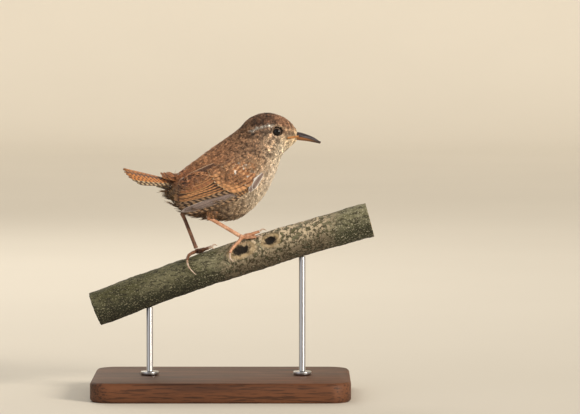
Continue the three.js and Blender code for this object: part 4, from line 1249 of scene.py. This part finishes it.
class WREN_OT_perch(bpy.types.Operator):
    """Makes the cut branch with its bark and sawn ends"""
    bl_idname = "wren.perch"
    bl_label = "Perch"

    def execute(self, context):
        piece = copied("branch", "perch")
        self.creased(piece)
        applied(piece, "SUBSURF", levels=3, render_levels=3)
        for name, size, strength in BARK_RELIEF:
            texture = bpy.data.textures.new(name, "CLOUDS")
            texture.noise_scale = size * MM
            applied(piece, "DISPLACE", texture=texture, texture_coords="LOCAL", strength=strength * MM,
                    mid_level=0.6)
        # The knots: a low rim with the wood sunk inside it
        along = Vector((0.94, 0, 0.33))
        for x, y, z, long, wide in KNOTS:
            middle = Vector((x, y, z)) * MM
            pressed(piece, middle, Vector((0, -0.7 * MM, 0)), long * 1.5 * MM)
            for share in (-0.35, 0.0, 0.35):
                pressed(piece, middle + along * share * long * MM, Vector((0, 1.3 * MM, 0)), wide * MM)
        bpy.ops.object.shade_smooth()
        handed(piece, (bark_material(), end_grain_material()), "bark", "perch")
        for face in piece.data.polygons:
            if abs(face.normal.x) > 0.85 and not SAWN_FROM[0] < face.center.x < SAWN_FROM[1]:
                face.material_index = 1
        return {"FINISHED"}

    def creased(self, piece):
        """Keeps the rims of the sawn ends sharp when the branch is subdivided."""
        crease = piece.data.attributes.new("crease_edge", "FLOAT", "EDGE")
        shaped = bmesh.new()
        shaped.from_mesh(piece.data)
        sharp = [len(edge.link_faces) == 2 and edge.calc_face_angle(0) > 1.0 for edge in shaped.edges]
        shaped.free()
        crease.data.foreach_set("value", np.array(sharp, dtype=np.float32))


class WREN_OT_stand(bpy.types.Operator):
    """Makes the wooden base and the two steel rods"""
    bl_idname = "wren.stand"
    bl_label = "Stand"

    def execute(self, context):
        settings = context.scene.wren_stand
        base = copied("base", "stand_base")
        applied(base, "BEVEL", width=settings.edge, segments=3, limit_method="ANGLE", angle_limit=0.6)
        bpy.ops.object.shade_smooth_by_angle(angle=0.5)
        handed(base, wood_material(tuple(settings.wood), "#6a4128"), "base_wood", "stand_base")
        steel = steel_material()
        for k in (1, 2):
            handed(self.rod(k), steel, "rod_steel", f"stand_rod_{k}")
        return {"FINISHED"}

    def rod(self, k):
        """A flange with its rod drawn up out of it."""
        low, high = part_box(f"stand_rod_{k}")
        middle, depth = (low[0] + high[0]) / 2, FLANGE["depth"]
        pick()
        bpy.ops.mesh.primitive_cylinder_add(vertices=64, radius=FLANGE["radius"], depth=depth,
                                            location=(middle, 0, low[2] + depth / 2))
        rod = added(f"rod_{k}")
        with Editing("FACE", [face.index for face in rod.data.polygons if face.normal.z > 0.9]):
            bpy.ops.mesh.inset(thickness=FLANGE["inset"])
            rise = (0, 0, high[2] - low[2] - depth)
            bpy.ops.mesh.extrude_region_move(TRANSFORM_OT_translate={"value": rise})
        applied(rod, "BEVEL", width=0.0003, segments=3, limit_method="ANGLE", angle_limit=0.6)
        bpy.ops.object.shade_smooth_by_angle(angle=0.6)
        return rod


class WREN_OT_stage(bpy.types.Operator):
    """Sets the floor, the lights and the camera"""
    bl_idname = "wren.stage"
    bl_label = "Stage"

    def execute(self, context):
        settings = context.scene.wren_stage
        self.floor(tuple(settings.floor))
        for name, kind, place, power, colour, size in LAMPS:
            bpy.ops.object.light_add(type=kind, location=place)
            lamp = bpy.context.object
            lamp.name = f"{name}_light"
            lamp.data.energy = power
            lamp.data.color = linear(colour)[:3]
            setattr(lamp.data, "angle" if kind == "SUN" else "size", size)
            lamp.rotation_euler = (Vector(place) - TARGET).to_track_quat("Z", "Y").to_euler()
        world = bpy.data.worlds.new("studio")
        context.scene.world = world
        world.use_nodes = True
        world.node_tree.nodes["Background"].inputs[0].default_value = linear("#efe9df")
        world.node_tree.nodes["Background"].inputs[1].default_value = 0.5
        away = Vector((0, -math.cos(settings.rise), math.sin(settings.rise)))
        bpy.ops.object.camera_add(location=TARGET + away * settings.distance,
                                  rotation=away.to_track_quat("Z", "Y").to_euler())
        camera = bpy.context.object
        camera.name = "camera"
        camera.data.sensor_width = 36
        camera.data.lens = 36 * settings.distance / settings.width
        camera.data.clip_start = 0.1
        context.scene.camera = camera
        context.scene.view_settings.view_transform = "Standard"
        return {"FINISHED"}

    def floor(self, colour):
        """A floor whose far edge turns up into a wall in a wide curve."""
        pick()
        bpy.ops.mesh.primitive_plane_add(size=24, location=(0, -8.6, 0))
        floor = added("floor")
        mesh = floor.data
        far = [edge.index for edge in mesh.edges if all(mesh.vertices[i].co.y > 2.5 for i in edge.vertices)]
        with Editing("EDGE", far):
            bpy.ops.mesh.extrude_region_move(TRANSFORM_OT_translate={"value": (0, 0, 3)})
        applied(floor, "BEVEL", width=0.9, segments=24, limit_method="ANGLE", angle_limit=0.6)
        bpy.ops.object.shade_smooth()
        graph = Graph("matt_floor_paint", 0.85)
        mesh.materials.append(graph.done(graph.mix(graph.noise(400.0), colour, "#e2dcd0")))
        floor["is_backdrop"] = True


OPERATORS = (WREN_OT_wings, WREN_OT_tail, WREN_OT_skin, WREN_OT_coat, WREN_OT_face, WREN_OT_legs,
             WREN_OT_perch, WREN_OT_stand, WREN_OT_stage)
GROUPS = {"wren_plumage": WrenPlumage, "wren_horn": WrenHorn, "wren_stand": WrenStand,
          "wren_stage": WrenStage}


class WREN_PT_panel(bpy.types.Panel):
    """Lists the pieces of the wren and their settings"""
    bl_idname = "WREN_PT_panel"
    bl_label = "Wren"
    bl_space_type = "VIEW_3D"
    bl_region_type = "UI"
    bl_category = "Wren"

    def draw(self, context):
        for operator in OPERATORS:
            self.layout.operator(operator.bl_idname)
        for name, group in GROUPS.items():
            for key in group.__annotations__:
                self.layout.prop(getattr(context.scene, name), key)


def register():
    for one in (*GROUPS.values(), *OPERATORS, WREN_PT_panel):
        bpy.utils.register_class(one)
    for name, group in GROUPS.items():
        setattr(bpy.types.Scene, name, bpy.props.PointerProperty(type=group))


def unregister():
    for name in GROUPS:
        delattr(bpy.types.Scene, name)
    for one in (WREN_PT_panel, *reversed(OPERATORS), *GROUPS.values()):
        bpy.utils.unregister_class(one)


WINGS, COVERTS, SKIN = [], [], []
BODY = tree_of(NODES["torso"], NODES["neck"], NODES["head"])
STRAND = strand_template()
VANE = vane_template()


def main():
    """Registers the add-on, makes every piece in order and works out both boxes."""
    register()
    for operator in OPERATORS:
        group, name = operator.bl_idname.split(".")
        getattr(getattr(bpy.ops, group), name)()
    boxes = {"cad": CAD_BOX, "visual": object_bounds()}
    {key: [[float(v) for v in corner] for corner in box] for key, box in boxes.items()}


if __name__ == "__main__":
    main()
